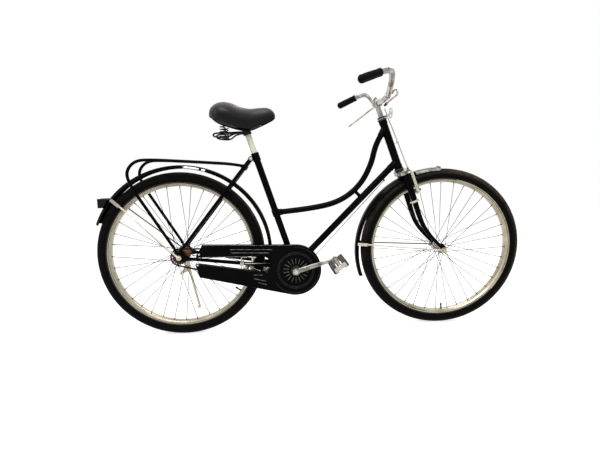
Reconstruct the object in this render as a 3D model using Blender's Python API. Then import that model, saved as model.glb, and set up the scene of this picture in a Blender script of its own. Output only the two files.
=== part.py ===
# Roadster bicycle with a curved second tube, rod brakes, a full chain case and a rear carrier.
# Metres, +Z up, +X towards the front wheel, the drive side on -Y.
# The origin lies on the ground, midway between the two wheel contact points.

from math import acos, atan2, ceil, cos, degrees, hypot, pi, radians, sin, sqrt, tau

import bpy
import bmesh
from mathutils import Quaternion, Vector

for old in list(bpy.data.objects):
    bpy.data.objects.remove(old, do_unlink=True)

# General fits
GAP = 0.0003            # play left between pieces that touch
FIT = 0.0005            # play of a shaft in its bore

# Wheels
WHEELBASE = 1.144
WHEEL_RADIUS = 0.356    # ground to axle
WHEEL_SIDES = 48
TYRE_WIDTH = 0.044
TREAD_WIDTH = 0.022     # the band that stands flat on the ground
TYRE_HEIGHT = 0.0425    # from the rim's edge to the tread
BEAD_DEPTH = 0.0045     # from the rim's edge down to the tyre's inner face
RIM_WIDTH = 0.0374
RIM_DEPTH = 0.017
RIM_SHOULDER = 0.0085   # height of the rim's straight side
RIM_WALL = 0.0021
RIM_EDGE_RADIUS = WHEEL_RADIUS - TYRE_HEIGHT
BEAD_RADIUS = RIM_EDGE_RADIUS - BEAD_DEPTH
RIM_INNER_RADIUS = RIM_EDGE_RADIUS - RIM_DEPTH
SPOKES = 36
SPOKE_CROSSES = 3
SPOKE_RADIUS = 0.0011
SPOKE_END_PLAY = 0.0005
VALVE_RADIUS = 0.0035
VALVE_LENGTH = 0.030
VALVE_ANGLE = 275.0
FLANGE_THICKNESS = 0.004
HUB_BORE = 0.0054
AXLE_RADIUS = 0.0048
FRONT_FLANGE_RADIUS = 0.020
FRONT_FLANGE_SIDE = 0.031
FRONT_BARREL_RADIUS = 0.0115
FRONT_HUB_HALF = 0.0495
REAR_FLANGE_RADIUS = 0.029
REAR_FLANGE_SIDE = 0.029
REAR_BARREL_RADIUS = 0.0185
REAR_HUB_HALF = 0.0545

# Frame
BB_AHEAD = 0.487        # bottom bracket ahead of the rear axle
BB_HEIGHT = 0.288
BB_RADIUS = 0.021
BB_HALF = 0.0355
BB_BORE = 0.0172
SEAT_ANGLE = 71.7
SEAT_TUBE_LENGTH = 0.5265
SEAT_TUBE_RADIUS = 0.0143
POST_RADIUS = 0.0127
SEAT_LUG_RADIUS = 0.0168
SEAT_LUG_LENGTH = 0.036
SEAT_BOLT_BACK = 0.0225
SEAT_BOLT_RADIUS = 0.0035
SEAT_BOLT_HEIGHT = SEAT_TUBE_LENGTH - 0.018
EYE_HALF = 0.0050        # half the thickness of a seat stay at the bolt
HEAD_ANGLE = 69.5
FORK_RAKE = 0.055
STEER_TURN = -4.0       # the bars and front wheel stand turned towards the drive side
HEAD_LOW = 0.4038       # along the steering axis, from the foot of the rake
HEAD_LENGTH = 0.2197
HEAD_RADIUS = 0.0165
HEAD_BORE = 0.0140
LUG_WALL = 0.0014
DOWN_TUBE_RADIUS = 0.0143
DOWN_TUBE_JOIN = 0.4352
SWAN_TUBE_RADIUS = 0.0125
SWAN_TUBE_JOIN = 0.593
SWAN_COLLAR_LENGTH = 0.030
LUG_REACH = 0.042
CHAINSTAY_RADIUS = 0.0095
CHAINSTAY_TIP_RADIUS = 0.0070
CHAINSTAY_SIDE_FRONT = 0.0215
SEATSTAY_RADIUS = 0.0084
SEATSTAY_TIP_RADIUS = 0.0068
SEATSTAY_SIDE_TOP = 0.0205
SEATSTAY_SIDE_BOW = 0.0365
BRIDGE_RADIUS = 0.0050
DROPOUT_SIDE = 0.0565   # inner face
DROPOUT_THICKNESS = 0.004

# Fork, headset and stem
STEERER_RADIUS = 0.0125
STEERER_BORE = 0.0113
STEERER_TOP = 0.6406
CROWN_LOW = 0.3730
CROWN_HEIGHT = 0.0195
CROWN_HALF_LENGTH = 0.027
CROWN_HALF_WIDTH = 0.053
BLADE_SIDE_TOP = 0.042
BLADE_SIDE_LOW = 0.0530
FORK_TIP_SIDE = 0.0515
FORK_TIP_THICKNESS = 0.003
QUILL_RADIUS = 0.0108
QUILL_LOW = 0.560
QUILL_TOP = 0.718
BAR_RADIUS = 0.011
BAR_FORWARD = 0.0053
BAR_HEIGHT = 0.6974
CLAMP_RADIUS = 0.017
CLAMP_HALF = 0.017
GRIP_RADIUS = 0.0150
GRIP_LENGTH = 0.098
GRIP_RINGS = 6
CUP_RADIUS = 0.0205

# Drive
CHAIN_PITCH = 0.0127
CHAINRING_TEETH = 44
SPROCKET_TEETH = 18
CHAIN_SIDE = 0.048
CHAIN_HEIGHT = 0.008
CHAIN_WIDTH = 0.0062
TOOTH_HEIGHT = 0.003
SPROCKET_THICKNESS = 0.0028
CRANK_LENGTH = 0.172
CRANK_ANGLE = 17.0      # drive-side crank above straight ahead
SPINDLE_RADIUS = 0.008
SPINDLE_HALF = 0.095
CRANK_BOSS_RADIUS = 0.0155
CRANK_SIDE = 0.0835
PEDAL_ANGLE = 35.0
PEDAL_LENGTH = 0.098
PEDAL_BLOCK_WIDTH = 0.022
PEDAL_BLOCK_HEIGHT = 0.030
PEDAL_BLOCK_SPREAD = 0.047
PEDAL_INNER_SIDE = 0.1035
PEDAL_PIN_RADIUS = 0.006
CASE_RADIUS = 0.110
CASE_WALL = 0.0012
CASE_INNER_SIDE = 0.0408
CASE_OUTER_SIDE = 0.0662

# Mudguards and stays
MUDGUARD_HALF_WIDTH = 0.026
MUDGUARD_DEPTH = 0.0095
MUDGUARD_WALL = 0.0010
MUDGUARD_CROWN = 0.62   # share of the half width that lies level
REAR_MUDGUARD_RADIUS = WHEEL_RADIUS + 0.0240
REAR_MUDGUARD_FROM = -5.0
REAR_MUDGUARD_TO = 158.6
FRONT_MUDGUARD_RADIUS = WHEEL_RADIUS + 0.0150
FRONT_MUDGUARD_FROM = 91.0
FRONT_MUDGUARD_TO = 198.8
STAY_RADIUS = 0.0025
FRONT_STAY_ANGLE = 176.3
REAR_STAY_ANGLE = 138.0
EYE_RADIUS = 0.0105

# Carrier
CARRIER_RADIUS = 0.0063
CARRIER_SIDE = 0.0635
DECK_BARS = 5
DECK_BAR_RADIUS = 0.0035
DECK_STRIP_WIDTH = 0.030
DECK_STRIP_THICKNESS = 0.004

# Brakes
ROD_FORWARD = 0.038
ROD_TOP_FORWARD = 0.0255
ROD_RADIUS = 0.0025
STIRRUP_RADIUS = 0.0038
STIRRUP_SIDE = 0.0345
BLOCK_LENGTH = 0.040
BLOCK_WIDTH = 0.009
BLOCK_HEIGHT = 0.011
BLOCK_SIDE = 0.0152
BRAKE_STROKE = 0.0040
REAR_BRAKE_ANGLE = -14.0
BELL_CRANK_THICKNESS = 0.0022
LOWER_ROD_RADIUS = 0.0020
UPPER_ROD_AHEAD = 0.008
LEVER_SHAFT_RADIUS = 0.0036
CLIP_SIDE = 0.105
LEVER_RADIUS = 0.0032

# Saddle
SADDLE_LIP = 0.007
SPRING_RADIUS = 0.0115
SPRING_WIRE = 0.0022
SPRING_CURLS = 4
SPRING_AHEAD = 0.198
SPRING_SIDE = 0.044
SPRING_LOW = 0.8560
SPRING_HIGH = 0.8995
SADDLE_WIRE = 0.0035

# Kickstand
STAND_RADIUS = 0.0065
STAND_KNUCKLE = 0.0085
STAND_LENGTH = 0.3245
STAND_PIVOT = (0.0, 0.085, 0.279)
STAND_REACH = (0.0, 0.5548, -0.8320)
STAND_FOLDED = (-0.9900, 0.1200, 0.0750)   # its direction when folded back

X = Vector((1, 0, 0))
Y = Vector((0, 1, 0))
Z = Vector((0, 0, 1))

# Base colour, roughness and metallic value of each finish
FINISHES = {
    "black enamel": ((0.006, 0.006, 0.007), 0.22, 0.0),
    "chrome": ((0.62, 0.60, 0.56), 0.18, 1.0),
    "zinc": ((0.45, 0.43, 0.38), 0.42, 1.0),
    "aluminium": ((0.60, 0.58, 0.52), 0.38, 1.0),
    "rusted steel": ((0.16, 0.06, 0.025), 0.75, 0.3),
    "dark steel": ((0.05, 0.045, 0.04), 0.45, 0.9),
    "tyre rubber": ((0.010, 0.009, 0.009), 0.85, 0.0),
    "hard rubber": ((0.030, 0.030, 0.032), 0.60, 0.0),
    "saddle vinyl": ((0.045, 0.042, 0.042), 0.45, 0.0),
    "brake block": ((0.16, 0.10, 0.03), 0.65, 0.0),
    "lamp plastic": ((0.012, 0.010, 0.010), 0.35, 0.0),
}


def finish(name):
    """The Principled material of one finish, made once."""
    if name in bpy.data.materials:
        return bpy.data.materials[name]
    colour, roughness, metallic = FINISHES[name]
    material = bpy.data.materials.new(name)
    material.use_nodes = True
    shader = material.node_tree.nodes["Principled BSDF"]
    shader.inputs["Base Color"].default_value = (*colour, 1.0)
    shader.inputs["Roughness"].default_value = roughness
    shader.inputs["Metallic"].default_value = metallic
    material.diffuse_color = (*colour, 1.0)
    return material


# Places

def at(ahead, up, side=0.0):
    """A point given from the ground under the rear axle."""
    return Vector((ahead - WHEELBASE / 2, side, up))


REAR_AXLE = at(0, WHEEL_RADIUS)
FRONT_AXLE = at(WHEELBASE, WHEEL_RADIUS)
BB = at(BB_AHEAD, BB_HEIGHT)
STEER_UP = Vector((-cos(radians(HEAD_ANGLE)), 0, sin(radians(HEAD_ANGLE))))
STEER_AHEAD = Vector((sin(radians(HEAD_ANGLE)), 0, cos(radians(HEAD_ANGLE))))
STEER_FOOT = FRONT_AXLE - STEER_AHEAD * FORK_RAKE
SEAT_UP = Vector((-cos(radians(SEAT_ANGLE)), 0, sin(radians(SEAT_ANGLE))))
SEAT_BACK = Vector((-sin(radians(SEAT_ANGLE)), 0, -cos(radians(SEAT_ANGLE))))
HEAD_TOP = HEAD_LOW + HEAD_LENGTH


def steer(height, ahead=0.0, side=0.0):
    """A point given along the steering axis, ahead of it and to the left of it."""
    return STEER_FOOT + STEER_UP * height + STEER_AHEAD * ahead + Y * side


def seat(height, back=0.0, side=0.0):
    """A point given along the seat tube, behind it and to the left of it."""
    return BB + SEAT_UP * height + SEAT_BACK * back + Y * side


def polar(centre, radius, angle, side=0.0):
    """A point at a distance and an angle in degrees from a wheel centre."""
    turn = radians(angle)
    return centre + Vector((radius * cos(turn), side, radius * sin(turn)))


def pitch_radius(teeth):
    return CHAIN_PITCH / (2 * sin(pi / teeth))


# Shape tools

def mesh_object(name, bm):
    bmesh.ops.recalc_face_normals(bm, faces=bm.faces)
    mesh = bpy.data.meshes.new(name)
    bm.to_mesh(mesh)
    bm.free()
    made = bpy.data.objects.new(name, mesh)
    bpy.context.scene.collection.objects.link(made)
    return made


def loft(name, rings, closed=False):
    """A skin over rings of points, with flat ends or, when closed, joined into a loop."""
    bm = bmesh.new()
    loops = [[bm.verts.new(point) for point in ring] for ring in rings]
    pairs = list(zip(loops, loops[1:]))
    if closed:
        pairs.append((loops[-1], loops[0]))
    for one, two in pairs:
        count = len(one)
        for k in range(count):
            bm.faces.new((one[k], one[(k + 1) % count], two[(k + 1) % count], two[k]))
    if not closed:
        bm.faces.new(loops[0])
        bm.faces.new(loops[-1])
    return mesh_object(name, bm)


def across(direction):
    """Two unit vectors square to a direction."""
    direction = direction.normalized()
    side = Y if abs(direction.y) < 0.9 else X
    first = (side - direction * side.dot(direction)).normalized()
    return first, direction.cross(first).normalized()


def turned(name, profile, centre, axis=Y, sides=16, phase=0.0):
    """A lathe shape from (radius, place along the axis) points, a ring where none lies on the axis."""
    first, second = across(axis)
    axis = axis.normalized()
    bm = bmesh.new()
    loops = []
    for radius, place in profile:
        middle = centre + axis * place
        if radius == 0:
            loops.append([bm.verts.new(middle)])
            continue
        loops.append([])
        for k in range(sides):
            angle = tau * (k + phase) / sides
            loops[-1].append(bm.verts.new(middle + (first * cos(angle) + second * sin(angle)) * radius))
    pairs = list(zip(loops, loops[1:]))
    if profile[0][0] > 0 and profile[-1][0] > 0:
        pairs.append((loops[-1], loops[0]))
    for one, two in pairs:
        for k in range(sides):
            following = (k + 1) % sides
            corners = [one[k % len(one)], one[following % len(one)],
                       two[following % len(two)], two[k % len(two)]]
            distinct = list(dict.fromkeys(corners))
            if len(distinct) > 2:
                bm.faces.new(distinct)
    return mesh_object(name, bm)


def rod(name, start, end, radius, sides=10, phase=0.0):
    length = (end - start).length
    profile = [(0, 0), (radius, 0), (radius, length), (0, length)]
    return turned(name, profile, start, end - start, sides, phase)


def collar(name, centre, axis, bore, radius, length, sides=16, phase=0.0):
    """A ring centred on a point of its axis."""
    half = length / 2
    profile = [(bore, -half), (radius, -half), (radius, half), (bore, half)]
    return turned(name, profile, centre, axis, sides, phase)


def rounded(points, reach, steps=3):
    """The path through the points with each corner rounded over the given reach."""
    path = [points[0]]
    for before, corner, after in zip(points, points[1:], points[2:]):
        back = (before - corner)
        on = (after - corner)
        start = corner + back.normalized() * min(reach, back.length * 0.48)
        end = corner + on.normalized() * min(reach, on.length * 0.48)
        for k in range(steps + 1):
            t = k / steps
            path.append(start * (1 - t) ** 2 + corner * 2 * t * (1 - t) + end * t ** 2)
    path.append(points[-1])
    return path


def flowing(points, steps=3):
    """A smooth path through the points."""
    ends = [points[0] * 2 - points[1]] + list(points) + [points[-1] * 2 - points[-2]]
    path = []
    for a, b, c, d in zip(ends, ends[1:], ends[2:], ends[3:]):
        for k in range(steps):
            t = k / steps
            path.append((b * 2 + (c - a) * t + (a * 2 - b * 5 + c * 4 - d) * t ** 2
                         + (b * 3 - a - c * 3 + d) * t ** 3) / 2)
    path.append(points[-1])
    return path


def sweep(name, path, size, sides=10, closed=False):
    """A round or oval bar along a path. A pair in size is the half width across and the half height."""
    count = len(path)
    lengths = [0.0]
    for one, two in zip(path, path[1:]):
        lengths.append(lengths[-1] + (two - one).length)
    tangents = []
    for k in range(count):
        if closed:
            tangents.append((path[(k + 1) % count] - path[k - 1]).normalized())
        else:
            tangents.append((path[min(k + 1, count - 1)] - path[max(k - 1, 0)]).normalized())
    first, _ = across(tangents[0])
    rings = []
    for k in range(count):
        first = (first - tangents[k] * first.dot(tangents[k])).normalized()
        second = tangents[k].cross(first)
        value = size(lengths[k] / lengths[-1]) if callable(size) else size
        wide, high = value if isinstance(value, tuple) else (value, value)
        ring = []
        for step in range(sides):
            angle = tau * (step + 0.5) / sides
            ring.append(path[k] + first * cos(angle) * wide + second * sin(angle) * high)
        rings.append(ring)
    return loft(name, rings, closed)


def slab(name, outline, low, high):
    """An outline of (x, z) points carried from one side to the other."""
    return loft(name, [[Vector((x, side, z)) for x, z in outline] for side in (low, high)])


def block(name, centre, size, along=X, side=Y):
    """A box with its first size along one direction and its second along the side direction."""
    along = along.normalized()
    upward = along.cross(side).normalized()
    rings = []
    for end in (-0.5, 0.5):
        middle = centre + along * size[0] * end
        ring = []
        for s, u in ((-0.5, -0.5), (0.5, -0.5), (0.5, 0.5), (-0.5, 0.5)):
            ring.append(middle + side * size[1] * s + upward * size[2] * u)
        rings.append(ring)
    return loft(name, rings)


def boolean(target, tools, operation):
    for tool in tools:
        step = target.modifiers.new(operation.title(), "BOOLEAN")
        step.operation = operation
        step.object = tool
    graph = bpy.context.evaluated_depsgraph_get()
    mesh = bpy.data.meshes.new_from_object(target.evaluated_get(graph))
    target.modifiers.clear()
    target.data = mesh
    for tool in tools:
        bpy.data.objects.remove(tool, do_unlink=True)
    return target


def fuse(target, *tools):
    return boolean(target, tools, "UNION")


def cut(target, *tools):
    return boolean(target, tools, "DIFFERENCE")


def gathered(name, pieces):
    """Several pieces that don't meet, in one mesh."""
    bm = bmesh.new()
    for piece in pieces:
        bm.from_mesh(piece.data)
        bpy.data.objects.remove(piece, do_unlink=True)
    return mesh_object(name, bm)


# Moving bodies: one empty on each joint's axis

def pivot(name, place, parent=None):
    empty = bpy.data.objects.new(name, None)
    empty.empty_display_size = 0.03
    bpy.context.scene.collection.objects.link(empty)
    if parent:
        empty.parent = parent
        place = place - parent_place(parent)
    empty.location = place
    return empty


def parent_place(empty):
    place = Vector(empty.location)
    while empty.parent:
        empty = empty.parent
        place += empty.location
    return place


def ready(piece, name, material, parent=None, smooth=True):
    """Names a finished piece, gives it its finish and hangs it on its moving body."""
    piece.name = name
    piece.data.name = name
    piece.data.materials.clear()
    piece.data.materials.append(finish(material))
    if smooth:
        piece.data.shade_smooth()
        piece.data.set_sharp_from_angle(angle=radians(38))
    if parent:
        piece.parent = parent
        piece.location = -parent_place(parent)
    return piece


REAR_MUDGUARD_CENTRE = REAR_AXLE + Vector((0.008, 0, 0.005))
FRONT_MUDGUARD_CENTRE = FRONT_AXLE + Vector((-0.012, 0, -0.008))
PEDAL_PLACE = {
    "right": polar(BB, CRANK_LENGTH, CRANK_ANGLE, -PEDAL_INNER_SIDE),
    "left": polar(BB, CRANK_LENGTH, CRANK_ANGLE + 180, PEDAL_INNER_SIDE),
}
SIDES = {"right": -1, "left": 1}
SADDLE_PIVOT = at(0.350, 0.9040)
LEVER_ROD = at(0.883, 1.019)
DOWN_TUBE_TOP = steer(DOWN_TUBE_JOIN)
DOWN_TUBE_WAY = (DOWN_TUBE_TOP - BB).normalized()
UPPER_CRANK = DOWN_TUBE_TOP - DOWN_TUBE_WAY * 0.0901 + Y * 0.0267
LOWER_CRANK = BB + DOWN_TUBE_WAY * 0.055 + Y * 0.0165
REAR_BRAKE_WAY = polar(Vector((0, 0, 0)), 1, REAR_BRAKE_ANGLE)

steering = pivot("steering", steer(HEAD_TOP))
front_wheel = pivot("front_wheel", FRONT_AXLE, steering)
rear_wheel = pivot("rear_wheel", REAR_AXLE)
crankset = pivot("crankset", BB)
freewheel = pivot("freewheel", REAR_AXLE)
pedals = {name: pivot(name + "_pedal_pin", place, crankset) for name, place in PEDAL_PLACE.items()}
seat_pillar = pivot("seat_pillar", seat(SEAT_TUBE_LENGTH))
saddle_top = pivot("saddle_top", SADDLE_PIVOT, seat_pillar)
stand = pivot("stand", at(STAND_PIVOT[0], STAND_PIVOT[2], STAND_PIVOT[1]))
STAND_SWING = Vector(STAND_REACH).normalized() - Vector(STAND_FOLDED).normalized()
STAND_AXIS = (Y - STAND_SWING * (STAND_SWING.y / STAND_SWING.length_squared)).normalized()
lever = pivot("lever", LEVER_ROD, steering)
front_brake = pivot("front_brake", steer(CROWN_LOW, ROD_FORWARD), steering)
rear_upper_rod = pivot("rear_upper_rod", steer(HEAD_LOW, 0, 0.031), steering)
upper_crank = pivot("upper_crank", UPPER_CRANK)
rear_lower_rod = pivot("rear_lower_rod", at(BB_AHEAD, BB_HEIGHT))
lower_crank = pivot("lower_crank", LOWER_CRANK)
rear_brake = pivot("rear_brake", polar(REAR_AXLE, WHEEL_RADIUS, REAR_BRAKE_ANGLE))


# Frame

SWAN_TOP = steer(SWAN_TUBE_JOIN)
SWAN_FOOT = BB + SEAT_UP * 0.2555
SWAN_PATH = [SWAN_TOP, at(0.8475, 0.815), at(0.8245, 0.735), at(0.787, 0.662), at(0.732, 0.606),
             at(0.659, 0.568), at(0.558, 0.547), SWAN_FOOT]


def lug_end(joint, along, radius):
    """The stub of a lug that reaches out from a tube's axis along another tube."""
    return rod("stub", joint, joint + along.normalized() * LUG_REACH, radius + LUG_WALL, 14)


def head_tube():
    band = HEAD_RADIUS + LUG_WALL
    low, high = HEAD_LOW + 0.018, HEAD_TOP - 0.018
    body = turned("head", [(HEAD_BORE, HEAD_LOW), (band, HEAD_LOW), (band, low), (HEAD_RADIUS, low),
                           (HEAD_RADIUS, high), (band, high), (band, HEAD_TOP), (HEAD_BORE, HEAD_TOP)],
                  STEER_FOOT, STEER_UP, 16)
    down = lug_end(DOWN_TUBE_TOP, BB - DOWN_TUBE_TOP, DOWN_TUBE_RADIUS)
    swan = lug_end(SWAN_TOP, SWAN_PATH[1] - SWAN_TOP, SWAN_TUBE_RADIUS)
    fuse(body, down, swan)
    bore = rod("bore", steer(HEAD_LOW - 0.02), steer(HEAD_TOP + 0.02), HEAD_BORE, 16)
    return ready(cut(body, bore), "head_tube", "black enamel")


def down_tube():
    """The straight lower tube with the pivots of the two bell cranks on its left side."""
    start = DOWN_TUBE_TOP - DOWN_TUBE_WAY * (LUG_REACH + GAP)
    end = BB + DOWN_TUBE_WAY * (LUG_REACH + GAP)
    tube = rod("tube", start, end, DOWN_TUBE_RADIUS, 14)
    bosses = []
    for place in (UPPER_CRANK, LOWER_CRANK):
        bosses.append(rod("boss", Vector((place.x, 0.008, place.z)), place - Y * GAP, 0.0042, 10))
    return ready(fuse(tube, *bosses), "down_tube", "black enamel")


def swan_tube():
    along = (SWAN_PATH[1] - SWAN_TOP).normalized()
    start = SWAN_TOP + along * (LUG_REACH + GAP)
    path = [point for point in flowing(SWAN_PATH, 3) if (point - start).length > 0.020 and point.z < start.z]
    path = [start, start + along * 0.010] + path
    tube = sweep("tube", path, SWAN_TUBE_RADIUS, 12)
    sleeve = rod("sleeve", seat(0.2555 - SWAN_COLLAR_LENGTH / 2), seat(0.2555 + SWAN_COLLAR_LENGTH / 2),
                 SEAT_TUBE_RADIUS + 0.0024, 14)
    strut_top = at(0.753, 0.621)
    foot = DOWN_TUBE_TOP + DOWN_TUBE_WAY * (strut_top - DOWN_TUBE_TOP).dot(DOWN_TUBE_WAY)
    strut = rod("strut", strut_top, foot + (strut_top - foot).normalized() * (DOWN_TUBE_RADIUS + GAP), 0.0075, 12)
    fuse(tube, sleeve, strut)
    bore = rod("bore", seat(0.20), seat(0.32), (SEAT_TUBE_RADIUS + GAP) / cos(pi / 14), 14)
    return ready(cut(tube, bore), "swan_tube", "black enamel")


def seat_tube():
    bore = (POST_RADIUS + FIT) / cos(pi / 14)
    top = SEAT_TUBE_LENGTH
    lug = top - SEAT_LUG_LENGTH
    body = turned("seat", [(bore, LUG_REACH + GAP), (SEAT_TUBE_RADIUS, LUG_REACH + GAP), (SEAT_TUBE_RADIUS, lug),
                           (SEAT_LUG_RADIUS, lug), (SEAT_LUG_RADIUS, top), (bore, top)], BB, SEAT_UP, 14)
    ears = block("ears", seat(top - 0.018, SEAT_BOLT_BACK + 0.0005), (0.016, 0.024, 0.015), SEAT_BACK)
    fuse(body, ears)
    bolt = (seat(SEAT_BOLT_HEIGHT, SEAT_BOLT_BACK, -0.03), seat(SEAT_BOLT_HEIGHT, SEAT_BOLT_BACK, 0.03))
    cut(body, rod("bolt hole", *bolt, SEAT_BOLT_RADIUS + FIT, 12),
        rod("bore", seat(top - 0.04), seat(top + 0.01), bore, 14))
    return ready(body, "seat_tube", "black enamel")


def seat_bolt():
    side = SEATSTAY_SIDE_TOP + EYE_HALF + GAP
    ends = (seat(SEAT_BOLT_HEIGHT, SEAT_BOLT_BACK, -side), seat(SEAT_BOLT_HEIGHT, SEAT_BOLT_BACK, side))
    shank = rod("shank", *ends, SEAT_BOLT_RADIUS, 12)
    heads = []
    for end in (-1, 1):
        heads.append(rod("head", seat(SEAT_BOLT_HEIGHT, SEAT_BOLT_BACK, end * side),
                         seat(SEAT_BOLT_HEIGHT, SEAT_BOLT_BACK, end * (side + 0.005)), 0.0068, 6))
    return ready(fuse(shank, *heads), "seat_bolt", "dark steel", smooth=False)


def bottom_bracket():
    # The right cup stands in the chain case's inner hole
    shell = rod("shell", BB - Y * (CASE_INNER_SIDE + CASE_WALL + GAP), BB + Y * BB_HALF, BB_RADIUS, 18)
    stubs = [lug_end(BB, SEAT_UP, SEAT_TUBE_RADIUS), lug_end(BB, DOWN_TUBE_TOP - BB, DOWN_TUBE_RADIUS)]
    for end in (-1, 1):
        start = BB + Y * end * CHAINSTAY_SIDE_FRONT
        along = (stay_rear(end) - start).normalized()
        stubs.append(rod("stub", start, start + along * 0.036, CHAINSTAY_RADIUS + 0.0007, 12))
    fuse(shell, *stubs)
    return ready(cut(shell, rod("bore", BB - Y * 0.06, BB + Y * 0.06, BB_BORE, 18)),
                 "bottom_bracket_shell", "black enamel")


def stay_rear(side):
    """Where a chainstay's centre line meets its dropout."""
    return at(0.030, WHEEL_RADIUS - 0.004, side * (DROPOUT_SIDE + DROPOUT_THICKNESS / 2))


def chainstay(name, side):
    front = BB + Y * side * CHAINSTAY_SIDE_FRONT
    rear = stay_rear(side)
    along = (rear - front).normalized()
    start = front + along * (0.036 + GAP)
    tube = sweep("tube", [start, start.lerp(rear, 0.5), rear],
                 lambda t: CHAINSTAY_RADIUS + (CHAINSTAY_TIP_RADIUS - CHAINSTAY_RADIUS) * t, 12)
    inner = side * DROPOUT_SIDE
    outer = side * (DROPOUT_SIDE + DROPOUT_THICKNESS)
    low, high = sorted((inner, outer))
    # The plate goes round the axle, up to the seat stay and forward into the chainstay
    outline = [(0.052, -0.012), (0.040, 0.006), (0.022, 0.016), (0.0152, 0.0298), (0.0058, 0.0372),
               (-0.006, 0.016), (-0.016, 0.010), (-0.018, 0.0056), (-0.018, -0.0056), (-0.012, -0.014),
               (0.004, -0.018)]
    plate = slab("plate", [(REAR_AXLE.x + x, REAR_AXLE.z + z) for x, z in outline], low, high)
    slot = AXLE_RADIUS + FIT
    mouth = ((-0.03, -slot), (slot, -slot), (slot, slot), (-0.03, slot))
    opening = slab("opening", [(REAR_AXLE.x + x, REAR_AXLE.z + z) for x, z in mouth], low - 0.001, high + 0.001)
    fuse(tube, plate)
    return ready(cut(tube, opening), name, "black enamel")


def seatstay_path(side):
    eye = seat(SEAT_BOLT_HEIGHT, SEAT_BOLT_BACK, side * SEATSTAY_SIDE_TOP)
    foot = at(0.0105, WHEEL_RADIUS + 0.0335, side * (DROPOUT_SIDE + DROPOUT_THICKNESS / 2))
    foot += (eye - foot).normalized() * 2 * GAP
    bow = eye.lerp(foot, 0.20)
    bow.y = side * SEATSTAY_SIDE_BOW
    return [eye, bow, foot]


def seat_stays():
    """The two stays with the bridge between them, which carries the mudguard."""
    pieces = []
    trims = [rod("tube room", seat(0.40), seat(SEAT_TUBE_LENGTH + 0.02), SEAT_LUG_RADIUS + 2 * GAP, 20)]

    def size(t):
        # Each stay is pressed flat where it holds the seat bolt
        flat = min(1.0, 0.45 + max(0.0, t - 0.026) * 11)
        radius = SEATSTAY_RADIUS + (SEATSTAY_TIP_RADIUS - SEATSTAY_RADIUS) * t
        return (radius * flat, radius)

    for side in (-1, 1):
        eye, bow, foot = seatstay_path(side)
        path = [eye, eye.lerp(bow, 0.12), eye.lerp(bow, 0.42)] + rounded([eye, bow, foot], 0.03, 3)[1:]
        pieces.append(sweep("tube", path, size, 12))
        pieces.append(rod("boss", eye - Y * EYE_HALF, eye + Y * EYE_HALF, 0.0105, 14))
        trims.append(rod("hole", eye - Y * 0.012, eye + Y * 0.012, SEAT_BOLT_RADIUS + FIT, 12))
    bridge_distance = REAR_MUDGUARD_RADIUS + BRIDGE_RADIUS + 0.0015
    for k in range(400):
        place = bow.lerp(foot, k / 400)
        if (Vector((place.x, 0, place.z)) - REAR_MUDGUARD_CENTRE).length < bridge_distance:
            break
    middle = Vector((place.x, 0, place.z))
    bridge = rod("bridge", middle - Y * place.y, middle + Y * place.y, BRIDGE_RADIUS, 10)
    stays = fuse(pieces[0], *pieces[1:], bridge)
    return ready(cut(stays, *trims), "seat_stays", "black enamel")


# Fork, headset and steering

def fork_crown():
    rings = []
    for height, swell in ((0, 0.94), (0.003, 1.0), (CROWN_HEIGHT - 0.003, 1.0), (CROWN_HEIGHT, 0.92)):
        ring = []
        for k in range(18):
            angle = tau * k / 18
            ring.append(steer(CROWN_LOW + height, 0.002 + CROWN_HALF_LENGTH * swell * cos(angle),
                              CROWN_HALF_WIDTH * swell * sin(angle)))
        rings.append(ring)
    body = loft("crown", rings)
    fuse(body, rod("steerer", steer(CROWN_LOW + 0.010), steer(STEERER_TOP), STEERER_RADIUS, 16))
    cut(body, rod("bore", steer(QUILL_LOW - 0.05), steer(STEERER_TOP + 0.02), STEERER_BORE / cos(pi / 16), 16))
    return ready(body, "fork_crown", "aluminium", steering)


# The blades' line: height along the steering axis and the distance ahead of it
BLADE_PATH = ((CROWN_LOW - GAP, 0.0085), (0.300, 0.0085), (0.235, 0.0065), (0.185, 0.0050), (0.135, 0.0078),
              (0.088, 0.0200), (0.045, 0.0372), (0.012, 0.0525))


def fork_blade(name, side):
    path = []
    for height, ahead in BLADE_PATH:
        spread = BLADE_SIDE_LOW + (BLADE_SIDE_TOP - BLADE_SIDE_LOW) * height / CROWN_LOW
        path.append(steer(height, ahead, side * spread))
    tube = sweep("blade", flowing(path, 2), lambda t: (0.0095 - 0.0040 * t, 0.0145 - 0.0080 * t ** 1.3), 12)
    # The top is cut square under the crown
    cap = block("cap", steer(CROWN_LOW - GAP + 0.02, 0.0085, side * BLADE_SIDE_TOP), (0.04, 0.06, 0.06), STEER_UP)
    cut(tube, cap)
    low, high = sorted((side * FORK_TIP_SIDE, side * (FORK_TIP_SIDE + FORK_TIP_THICKNESS)))
    outline = []
    for ahead, height in ((0.050, 0.030), (0.060, 0.030), (0.068, 0.008), (0.067, -0.008), (0.059, -0.015),
                          (0.049, -0.014), (0.042, -0.004), (0.043, 0.008)):
        point = steer(height, ahead)
        outline.append((point.x, point.z))
    tip = slab("tip", outline, low, high)
    fuse(tube, tip)
    slot = AXLE_RADIUS + FIT
    mouth = []
    for ahead, height in ((-slot, -0.03), (slot, -0.03), (slot, slot), (-slot, slot)):
        point = steer(height, FORK_RAKE + ahead)
        mouth.append((point.x, point.z))
    cut(tube, slab("mouth", mouth, low - 0.02, high + 0.02))
    return ready(tube, name, "black enamel", steering)


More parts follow.
